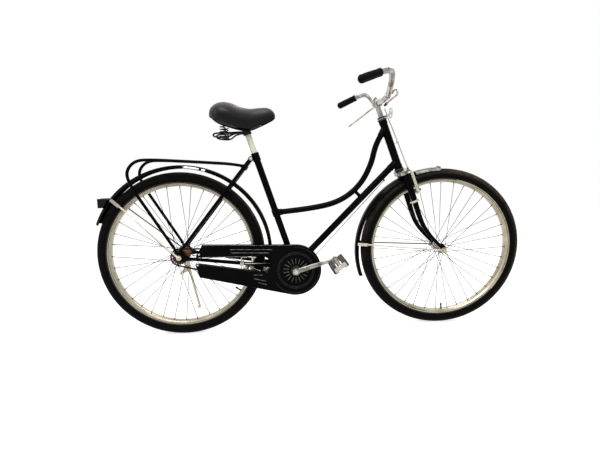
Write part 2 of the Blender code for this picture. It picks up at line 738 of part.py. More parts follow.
def headset():
    low = [(0.0131, CROWN_LOW + CROWN_HEIGHT + GAP), (0.0195, CROWN_LOW + CROWN_HEIGHT + GAP),
           (CUP_RADIUS, HEAD_LOW - 0.004), (0.0190, HEAD_LOW - GAP), (0.0131, HEAD_LOW - GAP)]
    ready(turned("cup", low, STEER_FOOT, STEER_UP, 16), "lower_headset_cup", "dark steel", steering)
    high = [(0.0131, HEAD_TOP + GAP), (0.0190, HEAD_TOP + GAP), (CUP_RADIUS, HEAD_TOP + 0.003),
            (CUP_RADIUS, HEAD_TOP + 0.0055), (0.0175, HEAD_TOP + 0.0068), (0.0131, HEAD_TOP + 0.0068)]
    ready(turned("cup", high, STEER_FOOT, STEER_UP, 16), "upper_headset_cup", "dark steel", steering)
    nut_low = HEAD_TOP + 0.0068 + 3 * GAP + 0.002
    nut = [(0.0131, nut_low), (0.0180, nut_low), (0.0180, STEERER_TOP - 0.001), (0.0150, STEERER_TOP),
           (0.0131, STEERER_TOP)]
    ready(turned("nut", nut, STEER_FOOT, STEER_UP, 12), "headset_locknut", "dark steel", steering, smooth=False)


def lamp_bracket():
    """A washer under the locknut with an upright two-hole plate ahead of it."""
    height = HEAD_TOP + 0.0068 + 2 * GAP + 0.001
    ring = collar("washer", steer(height), STEER_UP, 0.0131, 0.0195, 0.002 - 2 * GAP, 16)
    side, thick = 0.0085, 0.003
    arm = block("arm", steer(height + 0.0036, 0.0320, side), (0.028, thick * 0.9, 0.009), STEER_AHEAD)
    foot = block("foot", steer(height, 0.0196, side - 0.001), (0.012, 0.0100, 0.0010), STEER_AHEAD)
    centre = at(0.9120, 0.9530, side)
    plate = []
    for k in range(14):
        angle = tau * k / 14
        plate.append((centre.x + 0.0095 * cos(angle) * (1 - 0.16 * cos(2 * angle)), centre.z + 0.0235 * sin(angle)))
    plate = slab("plate", plate, side - thick / 2, side + thick / 2)
    fuse(ring, foot, arm, plate)
    for rise in (-0.0110, 0.0110):
        place = centre + Z * rise
        cut(ring, rod("hole", place - Y * 0.02, place + Y * 0.02, 0.0040, 10))
    return ready(ring, "lamp_bracket", "dark steel", steering)


# The left half of the handlebar from its middle: ahead, out to the side and up
BAR_HALF = [(0, 0, 0), (0, 0.024, 0), (0.0010, 0.045, 0.0005), (0.0065, 0.070, 0.0035),
            (0.0126, 0.112, 0.0140), (0.0102, 0.152, 0.0355), (0.0044, 0.193, 0.0592), (-0.0092, 0.2275, 0.0778),
            (-0.0444, 0.248, 0.0715), (-0.0903, 0.268, 0.0513), (-0.1234, 0.2883, 0.0383)]


def bar_path(side=None):
    """The handlebar's centre line, whole or one half of it from the middle outwards."""
    middle = steer(BAR_HEIGHT, BAR_FORWARD)
    half = [middle + Vector(point) for point in BAR_HALF]
    if side == 1:
        return flowing(half, 2)
    other = [Vector((point.x, -point.y, point.z)) for point in half]
    if side == -1:
        return flowing(other, 2)
    return flowing(other[:0:-1] + half, 2)


def handlebar():
    """The bar with the two clips that hold the brake lever's cross rod."""
    bar = sweep("bar", bar_path(), BAR_RADIUS, 12)
    middle = steer(BAR_HEIGHT, BAR_FORWARD)
    clips = []
    for side in (-1, 1):
        eye = Vector((LEVER_ROD.x, side * CLIP_SIDE, LEVER_ROD.z))
        clips.append(rod("clip", middle + Vector((0.0115, side * CLIP_SIDE, 0.0118)), eye, 0.0050, 8))
        clips.append(rod("eye", eye - Y * 0.0045, eye + Y * 0.0045, 0.0080, 12))
    fuse(bar, *clips)
    room = rod("room", LEVER_ROD - Y * 0.13, LEVER_ROD + Y * 0.13, (LEVER_SHAFT_RADIUS + GAP) / cos(pi / 12), 12)
    return ready(cut(bar, room), "handlebar", "chrome", steering)


def stem():
    quill = rod("quill", steer(QUILL_LOW), steer(QUILL_TOP), QUILL_RADIUS, 14)
    middle = steer(BAR_HEIGHT, BAR_FORWARD)
    clamp = rod("clamp", middle - Y * CLAMP_HALF, middle + Y * CLAMP_HALF, CLAMP_RADIUS, 16)
    bolt = rod("bolt", steer(QUILL_TOP - 0.001), steer(QUILL_TOP + 0.008), 0.0075, 6)
    fuse(quill, clamp, bolt)
    cut(quill, rod("bar room", middle - Y * 0.06, middle + Y * 0.06, (BAR_RADIUS + FIT) / cos(pi / 16), 16))
    return ready(quill, "stem", "chrome", steering)


def grip(name, side):
    path = bar_path(side)
    lengths = [0.0]
    for one, two in zip(path, path[1:]):
        lengths.append(lengths[-1] + (two - one).length)
    end = path[-1]
    along = (path[-1] - path[-4]).normalized()
    start = end - along * (GRIP_LENGTH - 0.012)
    first, second = across(along)
    rings = []
    steps = GRIP_RINGS
    for k in range(steps + 1):
        t = k / steps
        radius = GRIP_RADIUS
        if k == 0:
            radius = GRIP_RADIUS - 0.001
        if t > 0.85:
            radius = GRIP_RADIUS + 0.0014
        place = start + along * GRIP_LENGTH * t
        rings.append((radius, place))
    rings.append((0.0115, rings[-1][1] + along * 0.004))
    body = loft("grip", [[place + (first * cos(tau * s / 12) + second * sin(tau * s / 12)) * radius
                          for s in range(12)] for radius, place in rings])
    past_end = end + (path[-1] - path[-2]).normalized() * 0.0020
    room = sweep("room", path[len(path) // 2:] + [past_end], (BAR_RADIUS + FIT) / cos(pi / 12), 12)
    return ready(cut(body, room), name, "hard rubber", steering)


# Brakes

# The brake lever's handle and its return, each from the cross rod's end: ahead, above the ground, to the side
LEVER_HANDLE = ((0.883, 1.019, 0.128), (0.8840, 1.0180, 0.150), (0.8850, 1.0120, 0.165), (0.8800, 1.0030, 0.179),
                (0.8640, 0.9930, 0.192), (0.8300, 0.9660, 0.224), (0.7718, 0.9225, 0.272))
LEVER_RETURN = ((0.883, 1.019, -0.142), (0.8835, 1.0180, -0.160), (0.8860, 1.0080, -0.171),
                (0.8850, 0.9965, -0.166), (0.8800, 0.9905, -0.120), (0.8772, 0.9845, -0.060),
                (0.8795, 0.9815, -0.012))


def brake_lever():
    """One bar: the left hand's lever, the cross rod before the handlebar and its return to the middle."""
    shaft = rod("shaft", LEVER_ROD - Y * 0.146, LEVER_ROD + Y * 0.132, LEVER_SHAFT_RADIUS, 12)
    handle = sweep("handle", flowing([at(*point) for point in LEVER_HANDLE], 2), LEVER_RADIUS, 8)
    turned_back = sweep("return", flowing([at(*point) for point in LEVER_RETURN], 2), LEVER_RADIUS, 8)
    return ready(fuse(shaft, handle, turned_back), "brake_lever", "chrome", lever)


def block_pair(centre, outward, along):
    """The two brake blocks of a stirrup, under the rim on each side."""
    pieces = []
    for side in (-1, 1):
        middle = centre + Y * side * BLOCK_SIDE
        pieces.append(block("block", middle, (BLOCK_LENGTH, BLOCK_WIDTH, BLOCK_HEIGHT), along))
    return pieces


def stirrup(name, yoke, inward, across_wheel, material, parent, rod_end):
    """A U over the tyre with a brake block on each end and its pull rod."""
    depth = (yoke - across_wheel["centre"]).dot(-inward) - across_wheel["block"]
    low = yoke + inward * (depth + 0.0065)
    high = yoke
    path = [low + Y * -BLOCK_SIDE, low + Y * -STIRRUP_SIDE, high + Y * -STIRRUP_SIDE,
            high + Y * STIRRUP_SIDE, low + Y * STIRRUP_SIDE, low + Y * BLOCK_SIDE]
    arch = sweep("arch", rounded(path, 0.012, 3), STIRRUP_RADIUS, 8)
    along = inward.cross(Y)
    pads = block_pair(yoke + inward * depth, -inward, along)
    pull = rod("rod", yoke, rod_end, ROD_RADIUS, 8)
    return ready(fuse(arch, *pads, pull), name, material, parent)


def block_rest(off):
    """How far from the axle a block's middle rests, so that its far end meets the rim after the full stroke."""
    reach = sqrt((RIM_INNER_RADIUS - 2 * GAP) ** 2 - (off + BLOCK_LENGTH / 2) ** 2)
    return reach - BRAKE_STROKE - BLOCK_HEIGHT / 2


def front_stirrup():
    yoke = steer(0.3810, ROD_FORWARD)
    wheel = {"centre": steer(0, ROD_FORWARD), "block": block_rest(FORK_RAKE - ROD_FORWARD)}
    piece = stirrup("front", yoke, -STEER_UP, wheel, "zinc", front_brake, steer(0.668, ROD_TOP_FORWARD))
    return ready(piece, "front_brake_stirrup", "zinc", front_brake)


def rear_stirrup():
    yoke = REAR_AXLE + REAR_BRAKE_WAY * (WHEEL_RADIUS + 0.016)
    wheel = {"centre": REAR_AXLE, "block": block_rest(0)}
    end = LOWER_CRANK + LOWER_ARM + Y * (BELL_CRANK_THICKNESS + ROD_RADIUS + 2 * GAP)
    return stirrup("rear_brake_stirrup", yoke, -REAR_BRAKE_WAY, wheel, "zinc", rear_brake, end)


# The rod below the down tube, and the arms of the two bell cranks that it joins
ROD_OFF = BELL_CRANK_THICKNESS + GAP + LOWER_ROD_RADIUS
ROD_TOP = at(0.8960, 0.6620, UPPER_CRANK.y + ROD_OFF)
ROD_LOW = at(0.5560, 0.3020, LOWER_CRANK.y + ROD_OFF)
# The lower crank's long arm hangs square to the line on which the rear brake moves
LOWER_DROP = REAR_BRAKE_WAY.cross(Y)
LOWER_ARM = LOWER_DROP * (REAR_AXLE - LOWER_CRANK).dot(LOWER_DROP)


def rear_linkage():
    # The upper rod runs close beside the headset cups and turns with them
    side = sqrt((CUP_RADIUS + ROD_RADIUS + 2 * GAP) ** 2 - UPPER_ROD_AHEAD ** 2)
    low, high = steer(0.4205, UPPER_ROD_AHEAD, side), steer(0.668, UPPER_ROD_AHEAD, side)
    upper = rod("rod", low, high, ROD_RADIUS, 8)
    ready(upper, "rear_brake_upper_rod", "zinc", rear_upper_rod)
    ready(rod("rod", ROD_LOW, ROD_TOP, LOWER_ROD_RADIUS, 8), "rear_brake_lower_rod", "zinc", rear_lower_rod)
    to_rod = ROD_TOP - UPPER_CRANK
    to_upper = steer(0.418, UPPER_ROD_AHEAD) - UPPER_CRANK
    plate_crank("upper_bell_crank", UPPER_CRANK, Vector((to_rod.x, 0, to_rod.z)),
                Vector((to_upper.x, 0, to_upper.z)), upper_crank)
    to_rod = ROD_LOW - LOWER_CRANK
    plate_crank("lower_bell_crank", LOWER_CRANK, Vector((to_rod.x, 0, to_rod.z)), LOWER_ARM, lower_crank)


def plate_crank(name, place, one, two, parent):
    """A flat bell crank: two arms with round ends on one hub."""
    thick = BELL_CRANK_THICKNESS
    wide = 0.0036
    middle = Vector((place.x, place.z))
    ways = sorted(((degrees(atan2(reach.z, reach.x)) % 360, reach.length) for reach in (one, two)))
    outline = []
    for k, (angle, length) in enumerate(ways):
        on = ways[1 - k][0] + (360 if k else 0)
        end = middle + Vector((cos(radians(angle)), sin(radians(angle)))) * length
        for step in range(5):
            turn = radians(angle - 90 + 45 * step)
            outline.append(end + Vector((cos(turn), sin(turn))) * wide)
        spread = on - angle
        if spread < 180:
            turn = radians(angle + spread / 2)
            outline.append(middle + Vector((cos(turn), sin(turn))) * wide / sin(radians(spread / 2)))
        else:
            for step in range(5):
                turn = radians(angle + 90 + (spread - 180) * step / 4)
                outline.append(middle + Vector((cos(turn), sin(turn))) * 0.0062)
    low = place.y
    return ready(slab(name, [tuple(point) for point in outline], low, low + thick), name, "dark steel", parent)


# Wheels

def wheel_ring(name, profile, centre, material, parent):
    """A ring round the wheel whose facets stand flat on the ground."""
    return ready(turned(name, [(radius / cos(pi / WHEEL_SIDES), side) for side, radius in profile],
                        centre, Y, WHEEL_SIDES, 0.5), name, material, parent)


def tyre(name, centre, parent):
    half = TYRE_WIDTH / 2
    seat_half = RIM_WIDTH / 2 - RIM_WALL - GAP
    profile = [(-TREAD_WIDTH / 2, WHEEL_RADIUS), (-half * 0.84, WHEEL_RADIUS - 0.0080),
               (-half, WHEEL_RADIUS - 0.0190), (-seat_half, RIM_EDGE_RADIUS + 0.0035), (-seat_half, BEAD_RADIUS)]
    profile += [(-side, radius) for side, radius in reversed(profile)]
    return wheel_ring(name, profile, centre, "tyre rubber", parent)


def rim(name, centre, parent, phase):
    half = RIM_WIDTH / 2
    bed = BEAD_RADIUS - GAP * 1.5
    profile = [(-half, RIM_EDGE_RADIUS), (-half + RIM_WALL, RIM_EDGE_RADIUS), (-half + RIM_WALL, bed),
               (half - RIM_WALL, bed), (half - RIM_WALL, RIM_EDGE_RADIUS), (half, RIM_EDGE_RADIUS),
               (half, RIM_EDGE_RADIUS - RIM_SHOULDER), (half * 0.45, RIM_INNER_RADIUS),
               (-half * 0.45, RIM_INNER_RADIUS), (-half, RIM_EDGE_RADIUS - RIM_SHOULDER)]
    ring = wheel_ring(name, profile, centre, "aluminium", parent)
    ring.parent = None
    ring.location = (0, 0, 0)
    out = polar(Vector((0, 0, 0)), 1, phase)
    foot = centre + out * (RIM_INNER_RADIUS + 0.004)
    fuse(ring, rod("valve", foot - out * VALVE_LENGTH, foot, VALVE_RADIUS, 8))
    return ready(ring, name, "aluminium", parent)


def hub(name, centre, parent, flange, flange_side, barrel, half, material, neck):
    """A hub with its flanges and its crossed spokes."""
    edge = flange_side + FLANGE_THICKNESS / 2
    inner = flange_side - FLANGE_THICKNESS / 2
    profile = [(HUB_BORE, -half), (neck[0], -half), (neck[0], -edge), (flange, -edge), (flange, -inner),
               (barrel, -inner + 0.004), (barrel, inner - 0.004), (flange, inner), (flange, edge),
               (neck[1], edge), (neck[1], half), (HUB_BORE, half)]
    body = turned("hub", profile, centre, Y, 16)
    spokes = []
    per_side = SPOKES // 2
    spacing = 360.0 / per_side
    end = RIM_INNER_RADIUS - SPOKE_END_PLAY
    for side in (-1, 1):
        for k in range(per_side):
            lead = 1 if k % 2 else -1
            hole = spacing * (k + (0.5 if side > 0 else 0.0))
            start = polar(centre, flange - 0.004, hole, side * (flange_side + lead * 0.0012))
            reach = polar(centre, end, hole + lead * SPOKE_CROSSES * spacing, side * (0.0045 + lead * 0.0028))
            spokes.append(rod("spoke", start, reach, SPOKE_RADIUS, 4, 0.5))
    return ready(fuse(body, gathered("spokes", spokes)), name, material, parent)


def axle(name, centre, half, nut_from, parent):
    """An axle with its two nuts."""
    profile = []
    for side, start in zip((-1, 1), nut_from):
        end = [(AXLE_RADIUS, side * start), (0.0088, side * start), (0.0088, side * (start + 0.0075)),
               (AXLE_RADIUS, side * (start + 0.0075)), (AXLE_RADIUS, side * half), (0, side * half)]
        profile += end if side > 0 else end[::-1]
    return ready(turned(name, profile, centre, Y, 12), name, "zinc", parent, smooth=False)


# Drive

def toothed(name, centre, teeth, thickness, bore):
    """A flat ring with one tooth for each chain pitch, its tips just inside the chain."""
    tip = pitch_radius(teeth) - CHAIN_HEIGHT / 2 - GAP
    root = tip - TOOTH_HEIGHT
    outline = []
    for k in range(teeth):
        for part, radius in ((0.0, root), (0.32, tip), (0.68, tip)):
            angle = tau * (k + part) / teeth
            outline.append((centre.x + radius * cos(angle), centre.z + radius * sin(angle)))
    disc = slab(name, outline, centre.y - thickness / 2, centre.y + thickness / 2)
    return cut(disc, rod("bore", centre - Y * 0.03, centre + Y * 0.03, bore, 14))


def crank_arm(side, angle, boss_from, boss_to):
    """A crank with its boss and its pedal eye."""
    inward = BB + Y * side * boss_from
    outward = BB + Y * side * boss_to
    boss = rod("boss", inward, outward, CRANK_BOSS_RADIUS, 14)
    end = polar(BB, CRANK_LENGTH, angle, side * (CRANK_SIDE + 0.006))
    path = [BB + Y * side * CRANK_SIDE, polar(BB, CRANK_LENGTH * 0.5, angle, side * (CRANK_SIDE + 0.001)), end]
    arm = sweep("arm", path, lambda t: (0.0060 - 0.0010 * t, 0.0110 - 0.0025 * t), 12)
    eye = rod("eye", end - Y * 0.0068, end + Y * 0.0068, 0.0130, 12)
    return fuse(boss, arm, eye)


def cranks():
    centre = BB - Y * CHAIN_SIDE
    right = crank_arm(-1, CRANK_ANGLE, CHAIN_SIDE - 0.003, CRANK_SIDE + 0.0095)
    ring = toothed("ring", centre, CHAINRING_TEETH, SPROCKET_THICKNESS, CRANK_BOSS_RADIUS - 0.002)
    fuse(right, ring)
    left = crank_arm(1, CRANK_ANGLE + 180, CRANK_SIDE - 0.014, CRANK_SIDE + 0.0095)
    for piece, name, side in ((right, "chainwheel_and_right_crank", -1), (left, "left_crank", 1)):
        cut(piece, rod("room", BB - Y * 0.12, BB + Y * 0.12, (SPINDLE_RADIUS + GAP) / cos(pi / 12), 12))
        eye = PEDAL_PLACE["right" if side < 0 else "left"]
        cut(piece, rod("thread", eye - Y * 0.03, eye + Y * 0.03, (PEDAL_PIN_RADIUS + GAP) / cos(pi / 12), 12))
        ready(piece, name, "chrome", crankset)
    race = BB_BORE - 0.0004
    profile = [(0, -SPINDLE_HALF), (SPINDLE_RADIUS, -SPINDLE_HALF), (SPINDLE_RADIUS, -0.032), (race, -0.032),
               (race, -0.024), (SPINDLE_RADIUS, -0.024)]
    profile += [(radius, -place) for radius, place in reversed(profile)]
    ready(turned("spindle", profile, BB, Y, 12), "crank_spindle", "zinc", crankset)


def pedal(name, side):
    """A block pedal: pin, sleeve, two end plates and two rubber blocks."""
    place = PEDAL_PLACE[name.split("_")[0]]
    along = polar(Vector((0, 0, 0)), 1, PEDAL_ANGLE)
    start = place + Y * side * 0.010
    end = start + Y * side * PEDAL_LENGTH
    middle = (start + end) / 2
    pin = rod("pin", place - Y * side * 0.013, start + Y * side * 0.004, PEDAL_PIN_RADIUS, 10)
    sleeve = rod("sleeve", start + Y * side * 0.0008, end + Y * side * 0.004, 0.0085, 10)
    pieces = [sleeve]
    for place_y in (start + Y * side * 0.0015, end - Y * side * 0.0015):
        pieces.append(block("plate", place_y, (PEDAL_BLOCK_SPREAD + 0.004, 0.0030, 0.019), along))
    for step in (-0.5, 0.5):
        centre = middle + along * PEDAL_BLOCK_SPREAD * step
        pieces.append(block("rubber", centre, (PEDAL_BLOCK_WIDTH, PEDAL_LENGTH - 0.002, PEDAL_BLOCK_HEIGHT), along))
    return ready(fuse(pin, *pieces), name, "hard rubber", pedals[name.split("_")[0]], smooth=False)


def sprocket():
    centre = REAR_AXLE - Y * CHAIN_SIDE
    disc = toothed("disc", centre, SPROCKET_TEETH, SPROCKET_THICKNESS, 0.0160)
    body = rod("body", centre - Y * 0.0060, centre + Y * 0.0060, 0.0225, 14)
    fuse(disc, body)
    cut(disc, rod("bore", centre - Y * 0.03, centre + Y * 0.03, (FREEWHEEL_RADIUS + FIT) / cos(pi / 16), 16))
    return ready(disc, "rear_sprocket", "rusted steel", freewheel)


FREEWHEEL_RADIUS = 0.0135


def chain():
    """The chain as one band on the pitch line of both toothed wheels."""
    big = pitch_radius(CHAINRING_TEETH)
    small = pitch_radius(SPROCKET_TEETH)
    one = REAR_AXLE - Y * CHAIN_SIDE
    two = BB - Y * CHAIN_SIDE
    gap = two - one
    tilt = degrees(atan2(gap.z, gap.x))
    spread = degrees(acos((small - big) / gap.length))
    path = []
    for k in range(13):
        path.append(polar(one, small, tilt + spread + (360 - 2 * spread) * k / 12))
    for k in range(25):
        path.append(polar(two, big, tilt - spread + 2 * spread * k / 24))
    rings = []
    count = len(path)
    for k in range(count):
        along = (path[(k + 1) % count] - path[k - 1]).normalized()
        outward = along.cross(Y)
        ring = []
        for s, u in ((-1, -1), (1, -1), (1, 1), (-1, 1)):
            ring.append(path[k] + Y * s * CHAIN_WIDTH / 2 + outward * u * CHAIN_HEIGHT / 2)
        rings.append(ring)
    return ready(loft("chain", rings, closed=True), "chain", "rusted steel", smooth=False)


# The chain case's outer edge, from its rear top corner, in points ahead of the rear axle and above the ground
CASE_REAR = ((0.095, 0.4085), (0.0690, 0.3640), (0.0690, 0.3555))
CASE_SLOT = ((0.340, 0.3530), (0.345, 0.2830))
CASE_TAIL = ((0.080, 0.3270), (0.0640, 0.3250), (0.0800, 0.2700))


def case_outline(inset, rear):
    """The case's outline drawn in by a wall, with its open rear ends carried back by a length."""
    centre = Vector((BB_AHEAD, BB_HEIGHT))
    drawn = [(CASE_REAR[0], -inset), (CASE_REAR[1], 0.0 if rear else -inset), (CASE_REAR[2], inset)]
    points = [Vector(point) + Vector((-rear, shift)) for point, shift in drawn]
    # The window round the chainstay ends in a half circle
    high, low = Vector(CASE_SLOT[0]), Vector(CASE_SLOT[1])
    middle = (high + low) / 2
    swing = (high - low).length / 2 + inset
    for k in range(9):
        angle = radians(90 - 22.5 * k)
        points.append(middle + Vector((cos(angle), sin(angle))) * swing)
    drawn = [(CASE_TAIL[0], -inset), (CASE_TAIL[1], -inset), (CASE_TAIL[2], inset + rear * 0.2)]
    points += [Vector(point) + Vector((-rear, shift)) for point, shift in drawn]
    # The lower edge runs onto the disc, which leads round to the upper edge
    gap = centre - Vector(CASE_TAIL[2])
    start = degrees(atan2(gap.y, gap.x)) + degrees(acos(CASE_RADIUS / gap.length)) + 180
    for k in range(21):
        angle = radians(start + (452.0 - start) * k / 20)
        points.append(centre + Vector((cos(angle), sin(angle))) * (CASE_RADIUS - inset))
    return [(point.x - WHEELBASE / 2, point.y) for point in points]


def chaincase():
    outer = slab("case", case_outline(0, 0), -CASE_OUTER_SIDE, -CASE_INNER_SIDE)
    inner = slab("hollow", case_outline(CASE_WALL, 0.05), -CASE_OUTER_SIDE + CASE_WALL,
                 -CASE_INNER_SIDE - CASE_WALL)
    front = rod("front hole", BB - Y * 0.08, BB - Y * 0.055, CRANK_BOSS_RADIUS + 0.002, 24)
    back = rod("back hole", BB - Y * 0.055, BB - Y * 0.03, (BB_RADIUS + GAP) / cos(pi / 24), 24)
    return ready(cut(outer, inner, front, back), "chaincase", "black enamel")


# Mudguards, carrier and lamp

def mudguard(name, centre, radius, start, end, parent=None):
    steps = ceil(abs(end - start) / 6)
    rings = []
    for k in range(steps + 1):
        angle = start + (end - start) * k / steps
        ring = []
        for wall, order in ((0.0, (-1.0, -MUDGUARD_CROWN, MUDGUARD_CROWN, 1.0)),
                            (MUDGUARD_WALL, (1.0, MUDGUARD_CROWN, -MUDGUARD_CROWN, -1.0))):
            for share in order:
                half = MUDGUARD_HALF_WIDTH - wall
                drop = MUDGUARD_DEPTH if abs(share) == 1 else 0.0
                ring.append(polar(centre, radius - wall - drop, angle, half * share))
        rings.append(ring)
    return ready(loft(name, rings), name, "black enamel", parent)


REAR_EYE = 0.0641       # inner face of the rear mudguard stay's eye
FRONT_EYE = FORK_TIP_SIDE + FORK_TIP_THICKNESS + GAP


def edge_distance(axle_centre, guard_centre, radius, angle):
    """How far a mudguard's edge lies from the axle in one direction."""
    way = polar(Vector((0, 0, 0)), 1, angle)
    off = guard_centre - axle_centre
    along = way.dot(off)
    return along + sqrt(along ** 2 - off.length_squared + (radius - MUDGUARD_DEPTH) ** 2)


def stay(name, axle_centre, eye_inner, side, angle, radius, parent=None):
    """A mudguard stay: a rod with an eye on the axle and a flat tab on the mudguard's edge."""
    thick = 0.0020
    eye_at = axle_centre + Y * side * (eye_inner + thick / 2)
    edge = polar(axle_centre, radius, angle, side * (MUDGUARD_HALF_WIDTH + GAP + 0.0008))
    flat = (edge - polar(axle_centre, radius - 0.03, angle, edge.y)).normalized()
    ring = rod("eye", eye_at - Y * thick / 2, eye_at + Y * thick / 2, EYE_RADIUS, 12)
    tongue = block("tongue", eye_at + flat * 0.0150, (0.014, thick * 0.9, 0.0090), flat)
    bar = rod("bar", eye_at + flat * 0.0175, edge - flat * 0.016, STAY_RADIUS, 8)
    tab = block("tab", edge - flat * 0.0095, (0.026, 0.0016, 0.011), flat)
    fuse(ring, tongue, bar, tab)
    cut(ring, rod("hole", eye_at - Y * 0.02, eye_at + Y * 0.02, (AXLE_RADIUS + FIT) / cos(pi / 12), 12))
    return ready(ring, name, "aluminium", parent)


CARRIER_CLASP_DROP = 0.0357    # below the seat bolt
CARRIER_PATH = ((0.100, 0.7515), (-0.070, 0.7620), (-0.150, 0.7620), (-0.190, 0.7150), (-0.172, 0.6560),
                (-0.0190, 0.4020))


def carrier_side(name, side):
    eye, bow, foot = seatstay_path(side)
    clasp = eye.lerp(bow, CARRIER_CLASP_DROP / (eye.z - bow.z))
    points = [clasp + Vector((-0.004, side * 0.004, 0.006)), at(0.222, 0.7430, side * CARRIER_SIDE)]
    points += [at(ahead, up, side * CARRIER_SIDE) for ahead, up in CARRIER_PATH]
    tube = sweep("tube", rounded(points, 0.045, 3), CARRIER_RADIUS, 10)
    along = (bow - eye).normalized()
    fuse(tube, rod("clasp", clasp - along * 0.009, clasp + along * 0.009, SEATSTAY_RADIUS + 0.0035, 12))
    thick = REAR_EYE - DROPOUT_SIDE - DROPOUT_THICKNESS - 2 * GAP
    middle = REAR_AXLE + Y * side * (DROPOUT_SIDE + DROPOUT_THICKNESS + GAP + thick / 2)
    low = at(*CARRIER_PATH[-1])
    reach = Vector((low.x - REAR_AXLE.x, 0, low.z - REAR_AXLE.z))
    size = (reach.length + 0.004, thick, 0.011)
    tongue = block("tongue", middle + reach * 0.5 + reach.normalized() * 0.006, size, reach)
    ring = rod("eye", middle - Y * thick * 0.48, middle + Y * thick * 0.48, EYE_RADIUS, 12)
    fuse(tube, tongue, ring)
    cut(tube, rod("stay room", eye - along * 0.02, bow, (SEATSTAY_RADIUS + GAP) / cos(pi / 12), 12),
        rod("hole", middle - Y * 0.02, middle + Y * 0.02, (AXLE_RADIUS + FIT) / cos(pi / 12), 12))
    return ready(tube, name, "black enamel")


def carrier_deck():
    """Cross bars between the two sides, joined by a flat strip along the middle."""
    front = at(0.160, 0.7470)
    rear = at(-0.115, 0.7650)
    along = (rear - front).normalized()
    size = ((rear - front).length + 0.02, DECK_STRIP_WIDTH, DECK_STRIP_THICKNESS)
    strip = block("strip", (front + rear) / 2, size, along)
    reach = CARRIER_SIDE - CARRIER_RADIUS - GAP
    bars = []
    for k in range(DECK_BARS):
        middle = front.lerp(rear, k / (DECK_BARS - 1))
        bars.append(rod("bar", middle - Y * reach, middle + Y * reach, DECK_BAR_RADIUS, 8))
    fuse(strip, *bars)
    return ready(strip, "carrier_deck", "black enamel", smooth=False)


def tail_lamp():
    body = block("lamp", at(-0.316, 0.5860), (0.050, 0.046, 0.036))
    peak = block("peak", at(-0.320, 0.6045), (0.040, 0.050, 0.003))
    fuse(body, peak)
    ends = (REAR_MUDGUARD_CENTRE - Y * 0.05, REAR_MUDGUARD_CENTRE + Y * 0.05)
    room = rod("mudguard room", *ends, REAR_MUDGUARD_RADIUS + 2 * GAP, 96)
    return ready(cut(body, room), "tail_lamp", "lamp plastic", smooth=False)


# Saddle

# Ahead of the rear axle, half width, height of the top and height of the lower edge
SADDLE_STATIONS = (
    (0.1420, 0.030, 0.9560, 0.9370), (0.1520, 0.064, 0.9745, 0.9270), (0.1750, 0.093, 0.9895, 0.9150),
    (0.2050, 0.103, 0.9950, 0.9060), (0.2400, 0.095, 0.9885, 0.8950), (0.2750, 0.072, 0.9755, 0.8865),
    (0.3100, 0.048, 0.9700, 0.8860), (0.3450, 0.036, 0.9735, 0.8985), (0.3800, 0.031, 0.9740, 0.9140),
    (0.4020, 0.024, 0.9640, 0.9250), (0.4120, 0.011, 0.9470, 0.9330))


def saddle_underside(ahead):
    """The height of the shell over the springs and the clamp."""
    return SPRING_HIGH + GAP + (ahead - SPRING_AHEAD) * 0.045


def saddle_cover():
    stations = flowing([Vector((*station[:3],)) for station in SADDLE_STATIONS], 2)
    lips = flowing([Vector((station[0], station[3], 0)) for station in SADDLE_STATIONS], 2)
    rings = []
    for station, low in zip(stations, lips):
        ahead, half, top = station
        lip = low.y
        ceiling = max(lip + 0.005, saddle_underside(ahead))
        ring = []
        for k in range(13):
            angle = pi * k / 12
            flat = abs(cos(angle)) ** 0.80
            rise = sin(angle) ** 0.78 if 0 < k < 12 else 0.0
            tuck = 1 - 0.13 * (1 - rise) ** 2
            side = half * flat * tuck * (1 if cos(angle) > 0 else -1)
            ring.append(at(ahead, lip + (top - lip) * rise, side))
        edge = half * 0.87
        inner = max(edge * 0.35, edge - SADDLE_LIP)
        ring += [at(ahead, lip, -inner), at(ahead, ceiling, -inner * 0.96), at(ahead, ceiling, inner * 0.96),
                 at(ahead, lip, inner)]
        rings.append(ring)
    return ready(loft("saddle", rings), "saddle_cover", "saddle vinyl", saddle_top)


def coil_spring(name, side):
    """A round spring wound from one wire, with its two ends turned level."""
    centre = at(SPRING_AHEAD, SPRING_LOW, side * SPRING_SIDE)
    per_curl = 9
    points = []
    low = SPRING_WIRE
    height = SPRING_HIGH - SPRING_LOW - 2 * SPRING_WIRE
    total = SPRING_CURLS * per_curl
    for k in range(total + 1):
        angle = tau * k / per_curl
        rise = min(1.0, max(0.0, (k / total - 0.06) / 0.88))
        points.append(centre + Vector((SPRING_RADIUS * cos(angle), SPRING_RADIUS * sin(angle),
                                       low + height * rise)))
    nearest = min((one - two).length for k, one in enumerate(points) for two in points[k + per_curl // 2:])
    print(name, "least gap between curls in mm:", round((nearest - 2 * SPRING_WIRE) * 1000, 2))
    return ready(sweep(name, points, SPRING_WIRE, 6), name, "dark steel", seat_pillar)


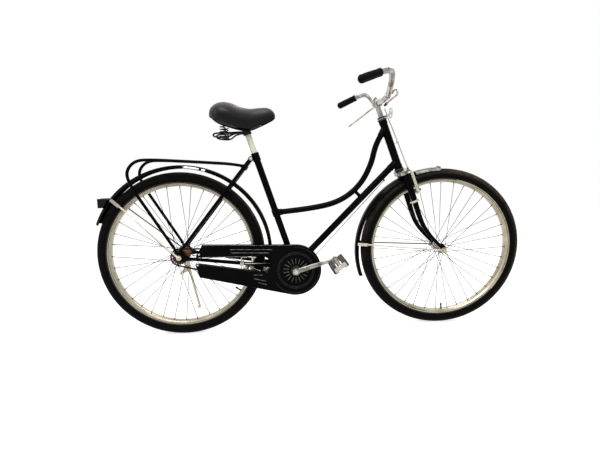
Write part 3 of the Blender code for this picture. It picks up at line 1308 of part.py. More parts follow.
def saddle_frame():
    """The clamp on the seat post, the wire loops under the springs and the nose piece."""
    clamp_at = seat(0.6165, 0.0075)
    clamp = rod("clamp", clamp_at - Y * 0.027, clamp_at + Y * 0.027, 0.0125, 14)
    collar_piece = rod("collar", seat(0.6060), seat(0.6240), POST_RADIUS + 0.0042, 14)
    pieces = [collar_piece]
    ahead = clamp_at.x + WHEELBASE / 2
    for side in (-1, 1):
        low = SPRING_LOW - GAP - 0.0018
        loop = [at(ahead - 0.004, clamp_at.z + 0.002, side * 0.018), at(0.245, 0.866, side * 0.032),
                at(0.215, low - SADDLE_WIRE, side * 0.053), at(0.180, low - SADDLE_WIRE, side * 0.053),
                at(0.161, 0.856, side * 0.047), at(0.163, 0.866, side * 0.036), at(0.190, 0.8700, side * 0.0275),
                at(0.235, 0.8720, side * 0.0200), at(ahead - 0.004, clamp_at.z + 0.004, side * 0.012)]
        pieces.append(sweep("loop", flowing(loop, 2), SADDLE_WIRE, 6))
        seat_at = at(SPRING_AHEAD, low, side * SPRING_SIDE)
        pieces.append(rod("spring seat", seat_at - Z * 0.0030, seat_at + Z * 0.0018, SPRING_RADIUS + 0.003, 12))
        nose = [at(ahead + 0.004, clamp_at.z + 0.006, side * 0.012), at(0.318, 0.892, side * 0.010),
                SADDLE_PIVOT + Y * side * 0.006]
        pieces.append(sweep("nose", flowing(nose, 2), 0.0030, 6))
    pieces.append(rod("nose pin", SADDLE_PIVOT - Y * 0.010, SADDLE_PIVOT + Y * 0.010, 0.0033, 10))
    fuse(clamp, *pieces)
    cut(clamp, rod("post room", seat(0.50), seat(POST_TOP + 0.0005), (POST_RADIUS + GAP) / cos(pi / 14), 14))
    return ready(clamp, "saddle_frame", "dark steel", seat_pillar)


POST_TOP = 0.6160
POST_LOW = 0.4000


def seat_post():
    return ready(rod("post", seat(POST_LOW), seat(POST_TOP), POST_RADIUS, 14), "seat_post", "chrome", seat_pillar)


# Kickstand

def kickstand():
    place = at(STAND_PIVOT[0], STAND_PIVOT[2], STAND_PIVOT[1])
    inner = REAR_EYE + 0.0020 + GAP
    thick = 0.0028
    eye = REAR_AXLE + Y * inner
    ring = rod("eye", eye, eye + Y * thick, 0.0120, 12)
    outline = ((0.0085, 0.0), (0.0085, -0.070), (0.0120, -0.092), (-0.0040, -0.098), (-0.0370, -0.112),
               (-0.0390, -0.106), (-0.0120, -0.074), (-0.0085, -0.060), (-0.0085, 0.0))
    plate = slab("plate", [(eye.x + x, eye.z + z) for x, z in outline], eye.y + 0.0001, eye.y + thick - 0.0001)
    reach = (place.y - inner - 0.0010) / STAND_AXIS.y
    hinge = rod("hinge", place - STAND_AXIS * reach, place - STAND_AXIS * (STAND_KNUCKLE + GAP), 0.0070, 12)
    fuse(ring, plate, hinge)
    cut(ring, rod("hole", eye - Y * 0.02, eye + Y * 0.03, (AXLE_RADIUS + FIT) / cos(pi / 12), 12))
    ready(ring, "kickstand_bracket", "aluminium")
    direction = Vector(STAND_REACH).normalized()
    tip = place + direction * STAND_LENGTH
    knee = place + direction * 0.02
    leg = sweep("leg", [place, knee, tip], lambda t: STAND_RADIUS - 0.0012 * t, 12)
    knuckle = rod("knuckle", place - STAND_AXIS * STAND_KNUCKLE, place + STAND_AXIS * STAND_KNUCKLE, 0.0105, 12)
    curl = sweep("curl", flowing([tip - direction * 0.006, tip, tip + Vector((-0.006, 0.004, -0.003)),
                                  tip + Vector((-0.014, 0.006, 0.000))], 2), 0.0050, 8)
    fuse(leg, knuckle, curl)
    ready(leg, "kickstand_leg", "aluminium", stand)


# The whole bicycle

def build():
    head_tube()
    down_tube()
    swan_tube()
    seat_tube()
    seat_bolt()
    bottom_bracket()
    for name, side in SIDES.items():
        chainstay(name + "_chainstay", side)
    seat_stays()
    fork_crown()
    headset()
    lamp_bracket()
    handlebar()
    stem()
    brake_lever()
    front_stirrup()
    rear_stirrup()
    rear_linkage()
    for name, side in SIDES.items():
        fork_blade(name + "_fork_blade", side)
        grip(name + "_grip", side)
        edge = edge_distance(FRONT_AXLE, FRONT_MUDGUARD_CENTRE, FRONT_MUDGUARD_RADIUS, FRONT_STAY_ANGLE)
        stay(name + "_front_mudguard_stay", FRONT_AXLE, FRONT_EYE, side, FRONT_STAY_ANGLE, edge, steering)
        edge = edge_distance(REAR_AXLE, REAR_MUDGUARD_CENTRE, REAR_MUDGUARD_RADIUS, REAR_STAY_ANGLE)
        stay(name + "_rear_mudguard_stay", REAR_AXLE, REAR_EYE, side, REAR_STAY_ANGLE, edge)
        carrier_side(name + "_carrier_side", side)
        pedal(name + "_pedal", side)
        coil_spring(name + "_saddle_spring", side)
    tyre("front_tyre", FRONT_AXLE, front_wheel)
    tyre("rear_tyre", REAR_AXLE, rear_wheel)
    rim("front_rim", FRONT_AXLE, front_wheel, VALVE_ANGLE)
    rim("rear_rim", REAR_AXLE, rear_wheel, VALVE_ANGLE + 50)
    hub("front_hub", FRONT_AXLE, front_wheel, FRONT_FLANGE_RADIUS, FRONT_FLANGE_SIDE, FRONT_BARREL_RADIUS,
        FRONT_HUB_HALF, "chrome", (0.0095, 0.0095))
    hub("rear_hub", REAR_AXLE, rear_wheel, REAR_FLANGE_RADIUS, REAR_FLANGE_SIDE, REAR_BARREL_RADIUS,
        REAR_HUB_HALF, "chrome", (FREEWHEEL_RADIUS, 0.0150))
    front_nut = FRONT_EYE + 0.0020 + GAP
    axle("front_axle", FRONT_AXLE, front_nut + 0.0100, (front_nut, front_nut), steering)
    rear_nut = REAR_EYE + 0.0020 + GAP
    axle("rear_axle", REAR_AXLE, rear_nut + 0.0130, (rear_nut, rear_nut + 0.0028 + GAP), None)
    cranks()
    sprocket()
    chain()
    chaincase()
    mudguard("rear_mudguard", REAR_MUDGUARD_CENTRE, REAR_MUDGUARD_RADIUS, REAR_MUDGUARD_FROM, REAR_MUDGUARD_TO)
    mudguard("front_mudguard", FRONT_MUDGUARD_CENTRE, FRONT_MUDGUARD_RADIUS, FRONT_MUDGUARD_FROM,
             FRONT_MUDGUARD_TO, steering)
    carrier_deck()
    tail_lamp()
    seat_post()
    saddle_frame()
    saddle_cover()
    kickstand()
    steering.rotation_mode = "QUATERNION"
    steering.rotation_quaternion = Quaternion(STEER_UP, radians(STEER_TURN))


build()
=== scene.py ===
# Roadster bicycle with a curved second tube, rod brakes, a full chain case and a rear carrier
# Metres, +Z up, +X towards the front wheel, the drive side on -Y

from math import acos, asin, atan2, cos, degrees, exp, hypot, pi, radians, sin, sqrt, tau

import bmesh
import bpy
from mathutils import Matrix, Quaternion, Vector


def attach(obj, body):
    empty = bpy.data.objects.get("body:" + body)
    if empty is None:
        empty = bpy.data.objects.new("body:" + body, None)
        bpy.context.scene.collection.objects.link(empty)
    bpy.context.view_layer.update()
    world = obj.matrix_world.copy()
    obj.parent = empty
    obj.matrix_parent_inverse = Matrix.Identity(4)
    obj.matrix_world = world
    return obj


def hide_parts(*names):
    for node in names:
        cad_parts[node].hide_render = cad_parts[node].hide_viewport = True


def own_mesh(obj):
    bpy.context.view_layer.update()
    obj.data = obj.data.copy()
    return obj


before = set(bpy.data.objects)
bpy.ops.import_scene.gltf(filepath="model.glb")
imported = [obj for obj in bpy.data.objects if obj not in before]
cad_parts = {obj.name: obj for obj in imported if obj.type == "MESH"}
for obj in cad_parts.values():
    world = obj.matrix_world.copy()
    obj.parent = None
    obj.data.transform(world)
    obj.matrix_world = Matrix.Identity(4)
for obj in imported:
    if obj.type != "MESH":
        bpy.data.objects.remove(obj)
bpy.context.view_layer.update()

scene = bpy.context.scene
print("frame loaded:", len(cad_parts), "nodes")

# places shared by all pieces

bike = {
    "wheelBase": 1.144,
    "wheelRadius": 0.356,
    "crankAhead": 0.487,      # bottom bracket ahead of the rear axle
    "crankHeight": 0.288,
    "seatAngle": 71.7,
    "headAngle": 69.5,
    "forkRake": 0.055,
    "turn": -4.0,             # the bars stand turned towards the drive side
    "headLow": 0.4038,
    "headTop": 0.6235,
    "crownLow": 0.3730,
    "gap": 0.0003,
}
origin, X, Y, Z = Vector(), Vector((1, 0, 0)), Vector((0, 1, 0)), Vector((0, 0, 1))


def at(ahead, up, side=0.0):  # from the ground under the rear axle
    return Vector((ahead - bike["wheelBase"] / 2, side, up))


def polar(centre, radius, angle, side=0.0):
    return centre + Vector((radius * cos(radians(angle)), side, radius * sin(radians(angle))))


rearAxle, frontAxle = at(0, bike["wheelRadius"]), at(bike["wheelBase"], bike["wheelRadius"])
crankCentre = at(bike["crankAhead"], bike["crankHeight"])
steerUp, steerAhead = polar(origin, 1, 180 - bike["headAngle"]), polar(origin, 1, 90 - bike["headAngle"])
seatUp, seatBack = polar(origin, 1, 180 - bike["seatAngle"]), polar(origin, 1, 270 - bike["seatAngle"])
steerFoot = frontAxle - steerAhead * bike["forkRake"]


def steer(height, ahead=0.0, side=0.0):
    return steerFoot + steerUp * height + steerAhead * ahead + Y * side


def seat(height, back=0.0, side=0.0):
    return crankCentre + seatUp * height + seatBack * back + Y * side


headPivot = steer(bike["headTop"])
frontTurn = (Matrix.Translation(headPivot) @ Quaternion(steerUp, radians(bike["turn"])).to_matrix().to_4x4()
             @ Matrix.Translation(-headPivot))
turnedBodies = {"steering", "front_wheel", "lever", "front_brake", "rear_upper_rod"}
hands = (("right", -1), ("left", 1))


def newObject(name, data):
    made = bpy.data.objects.new(name, data)
    scene.collection.objects.link(made)
    return made


def meshOf(name, points, edges=(), faces=()):
    mesh = bpy.data.meshes.new(name)
    mesh.from_pydata(points, edges, faces)
    return newObject(name, mesh)


# camera, floor and light

view = {"place": (-0.1696, -1.4679, 0.7204), "yaw": -0.0688, "pitch": -0.1229, "roll": 0.0136,
        "focal": 338.3, "right": 2.04, "down": -15.25, "wide": 600}  # from focal on in pixels of the picture
camera = scene.camera = newObject("camera", bpy.data.cameras.new("camera"))
camera.matrix_world = Matrix.Translation(view["place"])
for key, axis in (("yaw", "Z"), ("pitch", "X"), ("roll", "Y")):
    camera.matrix_world @= Matrix.Rotation(view[key], 4, axis)
camera.matrix_world @= Matrix(((1, 0, 0), (0, 0, -1), (0, 1, 0))).to_4x4()
lens = camera.data
lens.sensor_width = 36
lens.lens = lens.sensor_width * view["focal"] / view["wide"]
lens.shift_x, lens.shift_y = view["right"] / view["wide"], view["down"] / view["wide"]
lens.clip_start, lens.clip_end = 0.05, 100
scene.view_settings.view_transform = "Standard"

studio = {
    "world": 0.50,            # light from all round
    "floorCamera": 0.71,      # part of the floor's white that no shadow darkens
    "floorShade": 0.60,       # part of it that a shadow darkens
    "floorMatte": 0.40,       # how much light the floor throws back up
    "floor": (9.0, -0.0006),  # half its width, and its height
    "aim": (-0.05, 0, 0.55),
    "key": ((-0.5, -1.5, 2.9), 2.0, 0.7, 52),    # place, width, depth, power
    "rim": ((0.9, 1.8, 2.6), 1.8, 0.6, 34),
    "side": ((-2.6, -0.9, 1.7), 0.5, 1.4, 10),
}


def addNode(tree, kind, inputs=None, **settings):  # an input is a number, a colour or a socket to link
    made = tree.nodes.new(kind)
    for key, value in settings.items():
        setattr(made, key, value)
    for key, value in (inputs or {}).items():
        if isinstance(value, bpy.types.NodeSocket):
            tree.links.new(value, made.inputs[key])
        else:
            made.inputs[key].default_value = value
    return made


def calc(tree, operation, *values):
    return addNode(tree, "ShaderNodeMath", dict(enumerate(values)), operation=operation).outputs[0]


def splitLook(owner, light, shown):  # shown is what the camera, a reflection or a see-through part meets
    owner.use_nodes = True
    tree = owner.node_tree
    tree.nodes.clear()
    rays = addNode(tree, "ShaderNodeLightPath").outputs
    share = calc(tree, "MAXIMUM", calc(tree, "MAXIMUM", rays["Is Camera Ray"], rays["Is Glossy Ray"]),
                 rays["Is Transmission Ray"])
    mix = addNode(tree, "ShaderNodeMixShader", {0: share, 1: light(tree), 2: shown(tree)})
    addNode(tree, "ShaderNodeOutput" + type(owner).__name__, {0: mix.outputs[0]})


def plain(kind, colour, strength=None):
    inputs = {"Color": (*colour, 1)} | ({} if strength is None else {"Strength": strength})
    return lambda tree: addNode(tree, "ShaderNode" + kind, inputs).outputs[0]


def floorShown(tree):
    parts = plain("BsdfDiffuse", [studio["floorShade"]] * 3), plain("Emission", (1, 1, 1), studio["floorCamera"])
    return addNode(tree, "ShaderNodeAddShader", {k: part(tree) for k, part in enumerate(parts)}).outputs[0]


def makeStudio():
    world = scene.world = bpy.data.worlds.new("studio")
    splitLook(world, plain("Background", (1, 0.985, 0.96), studio["world"]), plain("Background", (1, 1, 1), 1.0))
    half, up = studio["floor"]
    floor = meshOf("floor", [(-half, -half, up), (half, -half, up), (half, half, up), (-half, half, up)],
                   faces=[(0, 1, 2, 3)])
    white = bpy.data.materials.new("floor white")
    splitLook(white, plain("BsdfDiffuse", [studio["floorMatte"]] * 3), floorShown)
    floor.data.materials.append(white)
    for name in ("key", "rim", "side"):
        lamp = bpy.data.lights.new(name + " lamp", "AREA")
        lamp.shape = "RECTANGLE"
        place, lamp.size, lamp.size_y, lamp.energy = studio[name]
        made = newObject(lamp.name, lamp)
        made.location = place
        made.rotation_euler = (Vector(studio["aim"]) - Vector(place)).to_track_quat("-Z", "Y").to_euler()


makeStudio()
print("camera, floor and light are set")

# finishes

# slot, colour, second colour, patches per metre, roughness low and high, metal, grain per metre, grain depth in mm,
# specular, then grime colour and how much of it
finishes = {
    "black enamel": ("black_enamel", (0.0008, 0.0008, 0.001), (0.0022, 0.0021, 0.0021), 9, 0.1, 0.2, 0.0,
        900, 0.04, 0.03, (0.04, 0.035, 0.029), 0.04),
    "aged chrome": ("chrome", (0.62, 0.575, 0.53), (0.215, 0.195, 0.17), 26, 0.16, 0.32, 0.8,
        700, 0.03, 0.5, (0.17, 0.12, 0.08), 0.3),
    "dull chrome": ("chrome", (0.42, 0.4, 0.365), (0.12, 0.11, 0.092), 30, 0.24, 0.42, 0.8,
        700, 0.03, 0.5, (0.17, 0.12, 0.08), 0.3),
    "post chrome": ("chrome", (0.86, 0.85, 0.72), (0.68, 0.66, 0.53), 22, 0.42, 0.55, 0.35,
        600, 0.03, 0.5, (0.25, 0.2, 0.13), 0.22),
    "pale zinc": ("zinc", (0.62, 0.6, 0.52), (0.42, 0.4, 0.33), 45, 0.32, 0.48, 0.9,
        800, 0.05, 0.5, (0.2, 0.15, 0.09), 0.3),
    "spoke zinc": ("zinc", (0.032, 0.03, 0.028), (0.016, 0.015, 0.013), 30, 0.34, 0.48, 0.9,
        800, 0.02, 0.5, (0.12, 0.09, 0.06), 0.25),
    "rim metal": ("aluminium", (0.52, 0.475, 0.375), (0.37, 0.33, 0.24), 14, 0.26, 0.42, 0.85,
        500, 0.04, 0.5, (0.2, 0.16, 0.11), 0.28),
    "rim shade": ("aluminium", (0.05, 0.045, 0.036), (0.026, 0.023, 0.018), 30, 0.34, 0.5, 0.5,
        500, 0.04, 0.3, (0.06, 0.045, 0.03), 0.3),
    "cast nickel": ("aluminium", (0.46, 0.435, 0.385), (0.045, 0.041, 0.036), 60, 0.18, 0.36, 0.9,
        420, 0.08, 0.5, (0.18, 0.14, 0.1), 0.26),
    "dark steel": ("dark_steel", (0.03, 0.028, 0.027), (0.06, 0.05, 0.042), 40, 0.26, 0.44, 0.6,
        700, 0.05, 0.4, (0.11, 0.065, 0.035), 0.2),
    "brass nut": ("zinc", (0.5, 0.41, 0.25), (0.33, 0.26, 0.15), 60, 0.25, 0.42, 1.0,
        700, 0.04, 0.5, (0.14, 0.09, 0.05), 0.3),
    "rusty steel": ("rusted_steel", (0.085, 0.02, 0.009), (0.034, 0.011, 0.006), 90, 0.62, 0.85, 0.15,
        900, 0.16, 0.4, (0.2, 0.08, 0.03), 0.45),
    "hub rust": ("chrome", (0.34, 0.15, 0.045), (0.12, 0.052, 0.022), 70, 0.4, 0.62, 0.35,
        700, 0.1, 0.4, (0.1, 0.045, 0.022), 0.4),
    "chain steel": ("rusted_steel", (0.02, 0.018, 0.016), (0.055, 0.032, 0.02), 90, 0.34, 0.6, 0.7,
        900, 0.06, 0.4, (0.13, 0.06, 0.028), 0.35),
    "grip rubber": ("hard_rubber", (0.0016, 0.0016, 0.0018), (0.004, 0.004, 0.004), 40, 0.26, 0.4, 0.0,
        1500, 0.04, 0.05, (0.035, 0.032, 0.029), 0.08),
    "pedal rubber": ("hard_rubber", (0.052, 0.054, 0.052), (0.082, 0.083, 0.078), 50, 0.55, 0.78, 0.0,
        1200, 0.1, 0.3, (0.1, 0.085, 0.065), 0.35),
    "brake compound": ("hard_rubber", (0.24, 0.19, 0.075), (0.13, 0.098, 0.04), 80, 0.45, 0.7, 0.1,
        900, 0.1, 0.4, (0.035, 0.026, 0.014), 0.4),
    "lamp plastic": ("lamp_plastic", (0.006, 0.0055, 0.0055), (0.013, 0.012, 0.011), 30, 0.24, 0.38, 0.0,
        1100, 0.03, 0.07, (0.06, 0.052, 0.04), 0.1),
    # the black mudguard's front end drawn grey: a painted highlight
    "grey tip": ("black_enamel", (0.16, 0.16, 0.16), (0.09, 0.09, 0.09), 30, 0.24, 0.4, 0.7,
        600, 0.04, 0.4, (0.09, 0.08, 0.07), 0.25),
    "stay cream": ("zinc", (0.8, 0.77, 0.62), (0.58, 0.56, 0.44), 40, 0.3, 0.46, 0.45,
        800, 0.04, 0.5, (0.2, 0.16, 0.09), 0.25),
    "stay green": ("aluminium", (0.2, 0.215, 0.17), (0.12, 0.13, 0.105), 40, 0.34, 0.5, 0.6,
        800, 0.04, 0.4, (0.08, 0.07, 0.045), 0.25),
    "spring steel": ("dark_steel", (0.012, 0.012, 0.012), (0.022, 0.02, 0.018), 60, 0.16, 0.3, 0.3,
        700, 0.03, 0.1, (0.07, 0.045, 0.028), 0.16),
    "stand cast": ("aluminium", (0.82, 0.78, 0.58), (0.62, 0.58, 0.4), 50, 0.34, 0.52, 0.3,
        500, 0.08, 0.5, (0.16, 0.13, 0.08), 0.25),
    # light grey ribs on the black enamel: a painted highlight
    "worn rib": ("black_enamel", (0.22, 0.22, 0.225), (0.06, 0.06, 0.062), 70, 0.16, 0.3, 0.2,
        700, 0.04, 0.12, (0.2, 0.195, 0.185), 0.35),
    # dim grey rings on the black enamel: a faint painted highlight
    "dull rib": ("black_enamel", (0.045, 0.045, 0.046), (0.014, 0.014, 0.014), 70, 0.16, 0.3, 0.1,
        700, 0.04, 0.1, (0.06, 0.058, 0.055), 0.35),
    "saddle shell": ("saddle_vinyl", (0.003, 0.0029, 0.0029), (0.006, 0.0056, 0.0054), 40, 0.5, 0.7, 0.0,
        900, 0.05, 0.03, (0.02, 0.018, 0.016), 0.2),
    "panel grey": ("zinc", (0.5, 0.49, 0.475), (0.2, 0.198, 0.19), 30, 0.22, 0.36, 0.4,
        700, 0.03, 0.3, (0.12, 0.11, 0.09), 0.2),
    "bright strip": ("zinc", (0.72, 0.72, 0.69), (0.52, 0.51, 0.48), 30, 0.22, 0.36, 0.5,
        700, 0.03, 0.5, (0.3, 0.27, 0.22), 0.2),
    "red lens": ("lamp_plastic", (0.35, 0.012, 0.01), (0.22, 0.006, 0.006), 40, 0.1, 0.2, 0.0,
        500, 0.1, 0.5, (0.08, 0.02, 0.015), 0.15),
}


def noise(tree, place, scale, detail=3.0, rough=0.55):
    return addNode(tree, "ShaderNodeTexNoise", {"Vector": place, "Scale": scale, "Detail": detail,
                                                "Roughness": rough}).outputs["Fac"]


def spread(tree, value, low, high, toLow=0.0, toHigh=1.0):
    return addNode(tree, "ShaderNodeMapRange", {"Value": value, "From Min": low, "From Max": high, "To Min": toLow,
                                                "To Max": toHigh}).outputs["Result"]


def blend(tree, share, one, two):  # of two colours
    one, two = [(*value, 1) if isinstance(value, tuple) else value for value in (one, two)]
    return addNode(tree, "ShaderNodeMix", {0: share, 6: one, 7: two}, data_type="RGBA").outputs[2]


def bump(tree, height, depth, before=None, strength=1.0):
    inputs = {"Height": height, "Distance": depth, "Strength": strength} | ({"Normal": before} if before else {})
    return addNode(tree, "ShaderNodeBump", inputs).outputs["Normal"]


def newFinish(name, draw, metal, specular):  # draw gives the sockets for colour, roughness and relief
    material = bpy.data.materials.new(name)
    material.use_nodes = True
    tree = material.node_tree
    shader = tree.nodes["Principled BSDF"].inputs
    shader["Metallic"].default_value, shader["Specular IOR Level"].default_value = metal, specular
    places = addNode(tree, "ShaderNodeTexCoord").outputs
    for key, socket in zip(("Base Color", "Roughness", "Normal"), draw(tree, places["Object"], places["UV"])):
        tree.links.new(socket, shader[key])
    return material


def finish(name):  # one material for each finish, made once
    if name in bpy.data.materials:
        return bpy.data.materials[name]
    _, base, second, patch, smooth, rough, metal, grain, depth, specular, grime, amount = finishes[name]

    def draw(tree, place, _):
        colour = blend(tree, spread(tree, noise(tree, place, patch, 4.0), 0.37, 0.64), base, second)
        spots = noise(tree, place, patch * 3.7, 6.0, 0.72)
        colour = blend(tree, spread(tree, spots, 0.56, 0.72, 0.0, amount), colour, grime)
        ripple = bump(tree, noise(tree, place, grain, 2.0), depth / 1000)
        return (colour, spread(tree, noise(tree, place, patch * 6.0), 0.3, 0.7, smooth, rough),
                bump(tree, spots, depth / 1000 * 1.5, ripple, 0.5))

    return newFinish(name, draw, metal, specular)


def drawTyre(tree, place, lying):  # dark side walls, a dusty brown tread with cross cuts
    tread = addNode(tree, "ShaderNodeAttribute", attribute_name="tread").outputs["Fac"]
    walls = blend(tree, noise(tree, place, 26, 4.0), (0.001, 0.001, 0.001), (0.0028, 0.0024, 0.0021))
    dustUnshaded = blend(tree, spread(tree, noise(tree, place, 16, 5.0, 0.7), 0.36, 0.66), (0.018, 0.0145, 0.012),
                  (0.115, 0.088, 0.066))
    film = spread(tree, noise(tree, place, 60, 6.0, 0.75), 0.55, 0.75, 0.0, 0.3)
    colour = blend(tree, film, blend(tree, tread, walls, dustUnshaded), (0.016, 0.012, 0.009))
    split = addNode(tree, "ShaderNodeSeparateXYZ", {0: lying}).outputs
    zig = calc(tree, "PINGPONG", calc(tree, "MULTIPLY", split["X"], 34.0), 1.0)
    cuts = calc(tree, "PINGPONG", calc(tree, "ADD", calc(tree, "MULTIPLY", split["Y"], 260.0), zig), 0.5)
    level = calc(tree, "MAXIMUM", spread(tree, cuts, 0.0, 0.1), spread(tree, tread, 0.0, 1.0, 1.0, 0.0))
    return (colour, spread(tree, noise(tree, place, 120), 0.3, 0.7, 0.55, 0.85),
            bump(tree, noise(tree, place, 900), 0.00012, bump(tree, level, 0.0008)))


def drawVinyl(tree, place, _):  # satin dark vinyl with a fine leather grain, a painted sheen along the top and painted shade towards the lip
    upper = addNode(tree, "ShaderNodeAttribute", attribute_name="upper").outputs["Fac"]  # 1 along the top, 0 at the lip
    colour = blend(tree, spread(tree, noise(tree, place, 11, 4.0), 0.35, 0.68), (0.005, 0.0044, 0.0043),
                   (0.009, 0.0078, 0.0073))
    # the lighter top colour and its patches are a painted sheen
    sheenPatches = spread(tree, noise(tree, place, 48, 6.0, 0.7), 0.55, 0.74, 0.0, 0.45)
    top = blend(tree, sheenPatches, blend(tree, 0.75, colour, (0.12, 0.104, 0.097)), (0.13, 0.11, 0.1))
    # near black towards the lip: painted shade
    low = blend(tree, spread(tree, upper, 0.25, 0.75), (0.001, 0.0012, 0.0012),
                blend(tree, 0.7, colour, (0.05, 0.046, 0.045)))
    cells = addNode(tree, "ShaderNodeTexVoronoi", {"Vector": place, "Scale": 620.0}).outputs["Distance"]
    return (blend(tree, spread(tree, upper, 0.55, 0.92), low, top),
            spread(tree, noise(tree, place, 22), 0.3, 0.7, 0.3, 0.42),
            bump(tree, noise(tree, place, 260), 0.00006, bump(tree, cells, 0.00009)))


rubber, vinyl = newFinish("tyre rubber", drawTyre, 0.0, 0.06), newFinish("saddle vinyl", drawVinyl, 0.0, 0.18)

# shape tools


def soften(mesh, angle=38):
    mesh.shade_smooth()
    mesh.set_sharp_from_angle(angle=radians(angle))


def fromBmesh(name, bm, angle):
    bmesh.ops.recalc_face_normals(bm, faces=bm.faces)
    mesh = bpy.data.meshes.new(name)
    bm.to_mesh(mesh)
    bm.free()
    soften(mesh, angle)
    return newObject(name, mesh)


def lengths(path):  # from the start of a path to each of its points
    run = [0.0]
    for one, two in zip(path, path[1:]):
        run.append(run[-1] + (two - one).length)
    return run


def evenly(path, count):  # points at even lengths along a path, and the way on at each
    run, k = lengths(path), 0
    for step in range(count + 1):
        reach = run[-1] * step / count
        while k < len(run) - 2 and run[k + 1] < reach:
            k += 1
        yield path[k].lerp(path[k + 1], (reach - run[k]) / (run[k + 1] - run[k])), path[k + 1] - path[k]


def skin(name, rings, loop=False, angle=38):  # over rings of points, with flat ends or joined into a loop
    bm = bmesh.new()
    uv = bm.loops.layers.uv.new("UVMap")
    rows = [[bm.verts.new(point) for point in ring] for ring in rings]
    count, run = len(rows[0]), lengths([ring[0] for ring in rings + rings[:loop]])
    for place, (one, two) in enumerate(zip(rows, rows[1:] + rows[:loop])):
        for k in range(count):
            on = (k + 1) % count
            face = bm.faces.new((one[k], one[on], two[on], two[k]))
            for corner, u, v in zip(face.loops, (k, k + 1, k + 1, k), (place, place, place + 1, place + 1)):
                corner[uv].uv = (u / count, run[v])
    if not loop:
        bm.faces.new(rows[0])
        bm.faces.new(rows[-1])
    return fromBmesh(name, bm, angle)


def acrossOf(direction):
    direction = direction.normalized()
    side = Y if abs(direction.y) < 0.9 else X
    first = (side - direction * side.dot(direction)).normalized()
    return first, direction.cross(first).normalized()


def circle(centre, first, second, sides, wide, high=None, phase=0.0):
    turns = [tau * (k + phase) / sides for k in range(sides)]
    return [centre + first * (cos(turn) * wide) + second * (sin(turn) * (high or wide)) for turn in turns]


def mm(*points, wide=0.0, long=0.0):  # points in millimetres, from a width and a length in metres
    return [(wide + x / 1000, long + y / 1000) for x, y in points]


def bothWays(right, left=None):  # a (radius, place) profile from its halves, each drawn outwards from the middle
    return [(radius, -place) for radius, place in reversed(left or right)] + right


# (radius, place along the axis) points turned round the axis
def lathe(name, profile, centre, axis=Y, sides=32, phase=0.0, angle=38):
    first, second = acrossOf(axis)
    axis = axis.normalized()
    bm = bmesh.new()
    loops = []
    for radius, place in profile:
        middle = centre + axis * place
        loops.append([bm.verts.new(point) for point in
                      (circle(middle, first, second, sides, radius, phase=phase) if radius else [middle])])
    pairs = list(zip(loops, loops[1:]))
    if profile[0][0] > 0 and profile[-1][0] > 0:
        pairs.append((loops[-1], loops[0]))
    for one, two in pairs:
        for k in range(sides):
            on = (k + 1) % sides
            corners = list(dict.fromkeys([one[k % len(one)], one[on % len(one)], two[on % len(two)],
                                          two[k % len(two)]]))
            if len(corners) > 2:
                bm.faces.new(corners)
    return fromBmesh(name, bm, angle)


def rod(name, start, end, radius, sides=20, ease=0.0006):
    length = (end - start).length
    ease = min(ease, radius * 0.4, length * 0.4)
    return lathe(name, [(0, 0), (radius - ease, 0), (radius, ease), (radius, length - ease), (radius - ease, length),
                        (0, length)], start, end - start, sides)


def disc(name, bore, outer, low, high, *turned):  # a plain ring or disc
    return lathe(name, [(bore, low), (outer, low), (outer, high), (bore, high)], *turned)


def collar(name, bore, outer, low, high, ease, drop, *turned):  # a ring with eased corners
    return lathe(name, [(bore, low), (outer - ease, low), (outer, low + drop), (outer, high - drop),
                        (outer - ease, high), (bore, high)], *turned)


def flowing(points, steps=8):  # a smooth path through the points
    ends = [points[0] * 2 - points[1]] + list(points) + [points[-1] * 2 - points[-2]]
    path = []
    for a, b, c, d in zip(ends, ends[1:], ends[2:], ends[3:]):
        for t in (k / steps for k in range(steps)):
            path.append((b * 2 + (c - a) * t + (a * 2 - b * 5 + c * 4 - d) * t ** 2
                         + (b * 3 - a - c * 3 + d) * t ** 3) / 2)
    return path + [points[-1]]


def rounded(points, reach, steps=8):  # the corners of a path rounded over a reach
    path = [points[0]]
    for before, corner, after in zip(points, points[1:], points[2:]):
        start, end = [corner + way.normalized() * min(reach, way.length * 0.48)
                      for way in (before - corner, after - corner)]
        for t in (k / steps for k in range(steps + 1)):
            path.append(start * (1 - t) ** 2 + corner * 2 * t * (1 - t) + end * t ** 2)
    return path + [points[-1]]


def sweep(name, path, size, sides=24, loop=False):
    count, run, rings = len(path), lengths(path), []
    first = None
    for k, point in enumerate(path):
        way = path[(k + 1) % count] - path[k - 1] if loop else path[min(k + 1, count - 1)] - path[max(k - 1, 0)]
        way = way.normalized()
        first = acrossOf(way)[0] if first is None else first
        first = (first - way * first.dot(way)).normalized()
        value = size(run[k] / run[-1]) if callable(size) else size
        wide, high = value if isinstance(value, tuple) else (value, value)
        rings.append(circle(point, first, way.cross(first), sides, wide, high, 0.5))
    return skin(name, rings, loop)


def easeEdges(piece, width, parts=2, angle=35, profile=0.6, flat=False):  # flat takes the edges along a side only
    bm = bmesh.new()
    bm.from_mesh(piece.data)
    edges = [edge for edge in bm.edges if edge.is_manifold and edge.calc_face_angle(0) > radians(angle)
             and not (flat and abs(edge.verts[0].co.y - edge.verts[1].co.y) >= 1e-6)]
    bmesh.ops.bevel(bm, geom=edges, offset=width, segments=parts, profile=profile, affect="EDGES", clamp_overlap=True)
    bm.to_mesh(piece.data)
    bm.free()
    soften(piece.data)
    return piece


def plate(name, outline, low, high):  # (x, z) points carried from one side to the other
    return skin(name, [[Vector((x, side, z)) for x, z in outline] for side in (low, high)])


def block(name, centre, size, along, ease=0.0005, parts=2):
    along = along.normalized()
    upward = along.cross(Y).normalized()
    rings = []
    for end in (-0.5, 0.5):
        middle = centre + along * size[0] * end
        rings.append([middle + Y * size[1] * s + upward * size[2] * u
                      for s, u in ((-0.5, -0.5), (0.5, -0.5), (0.5, 0.5), (-0.5, 0.5))])
    return easeEdges(skin(name, rings), ease, parts)


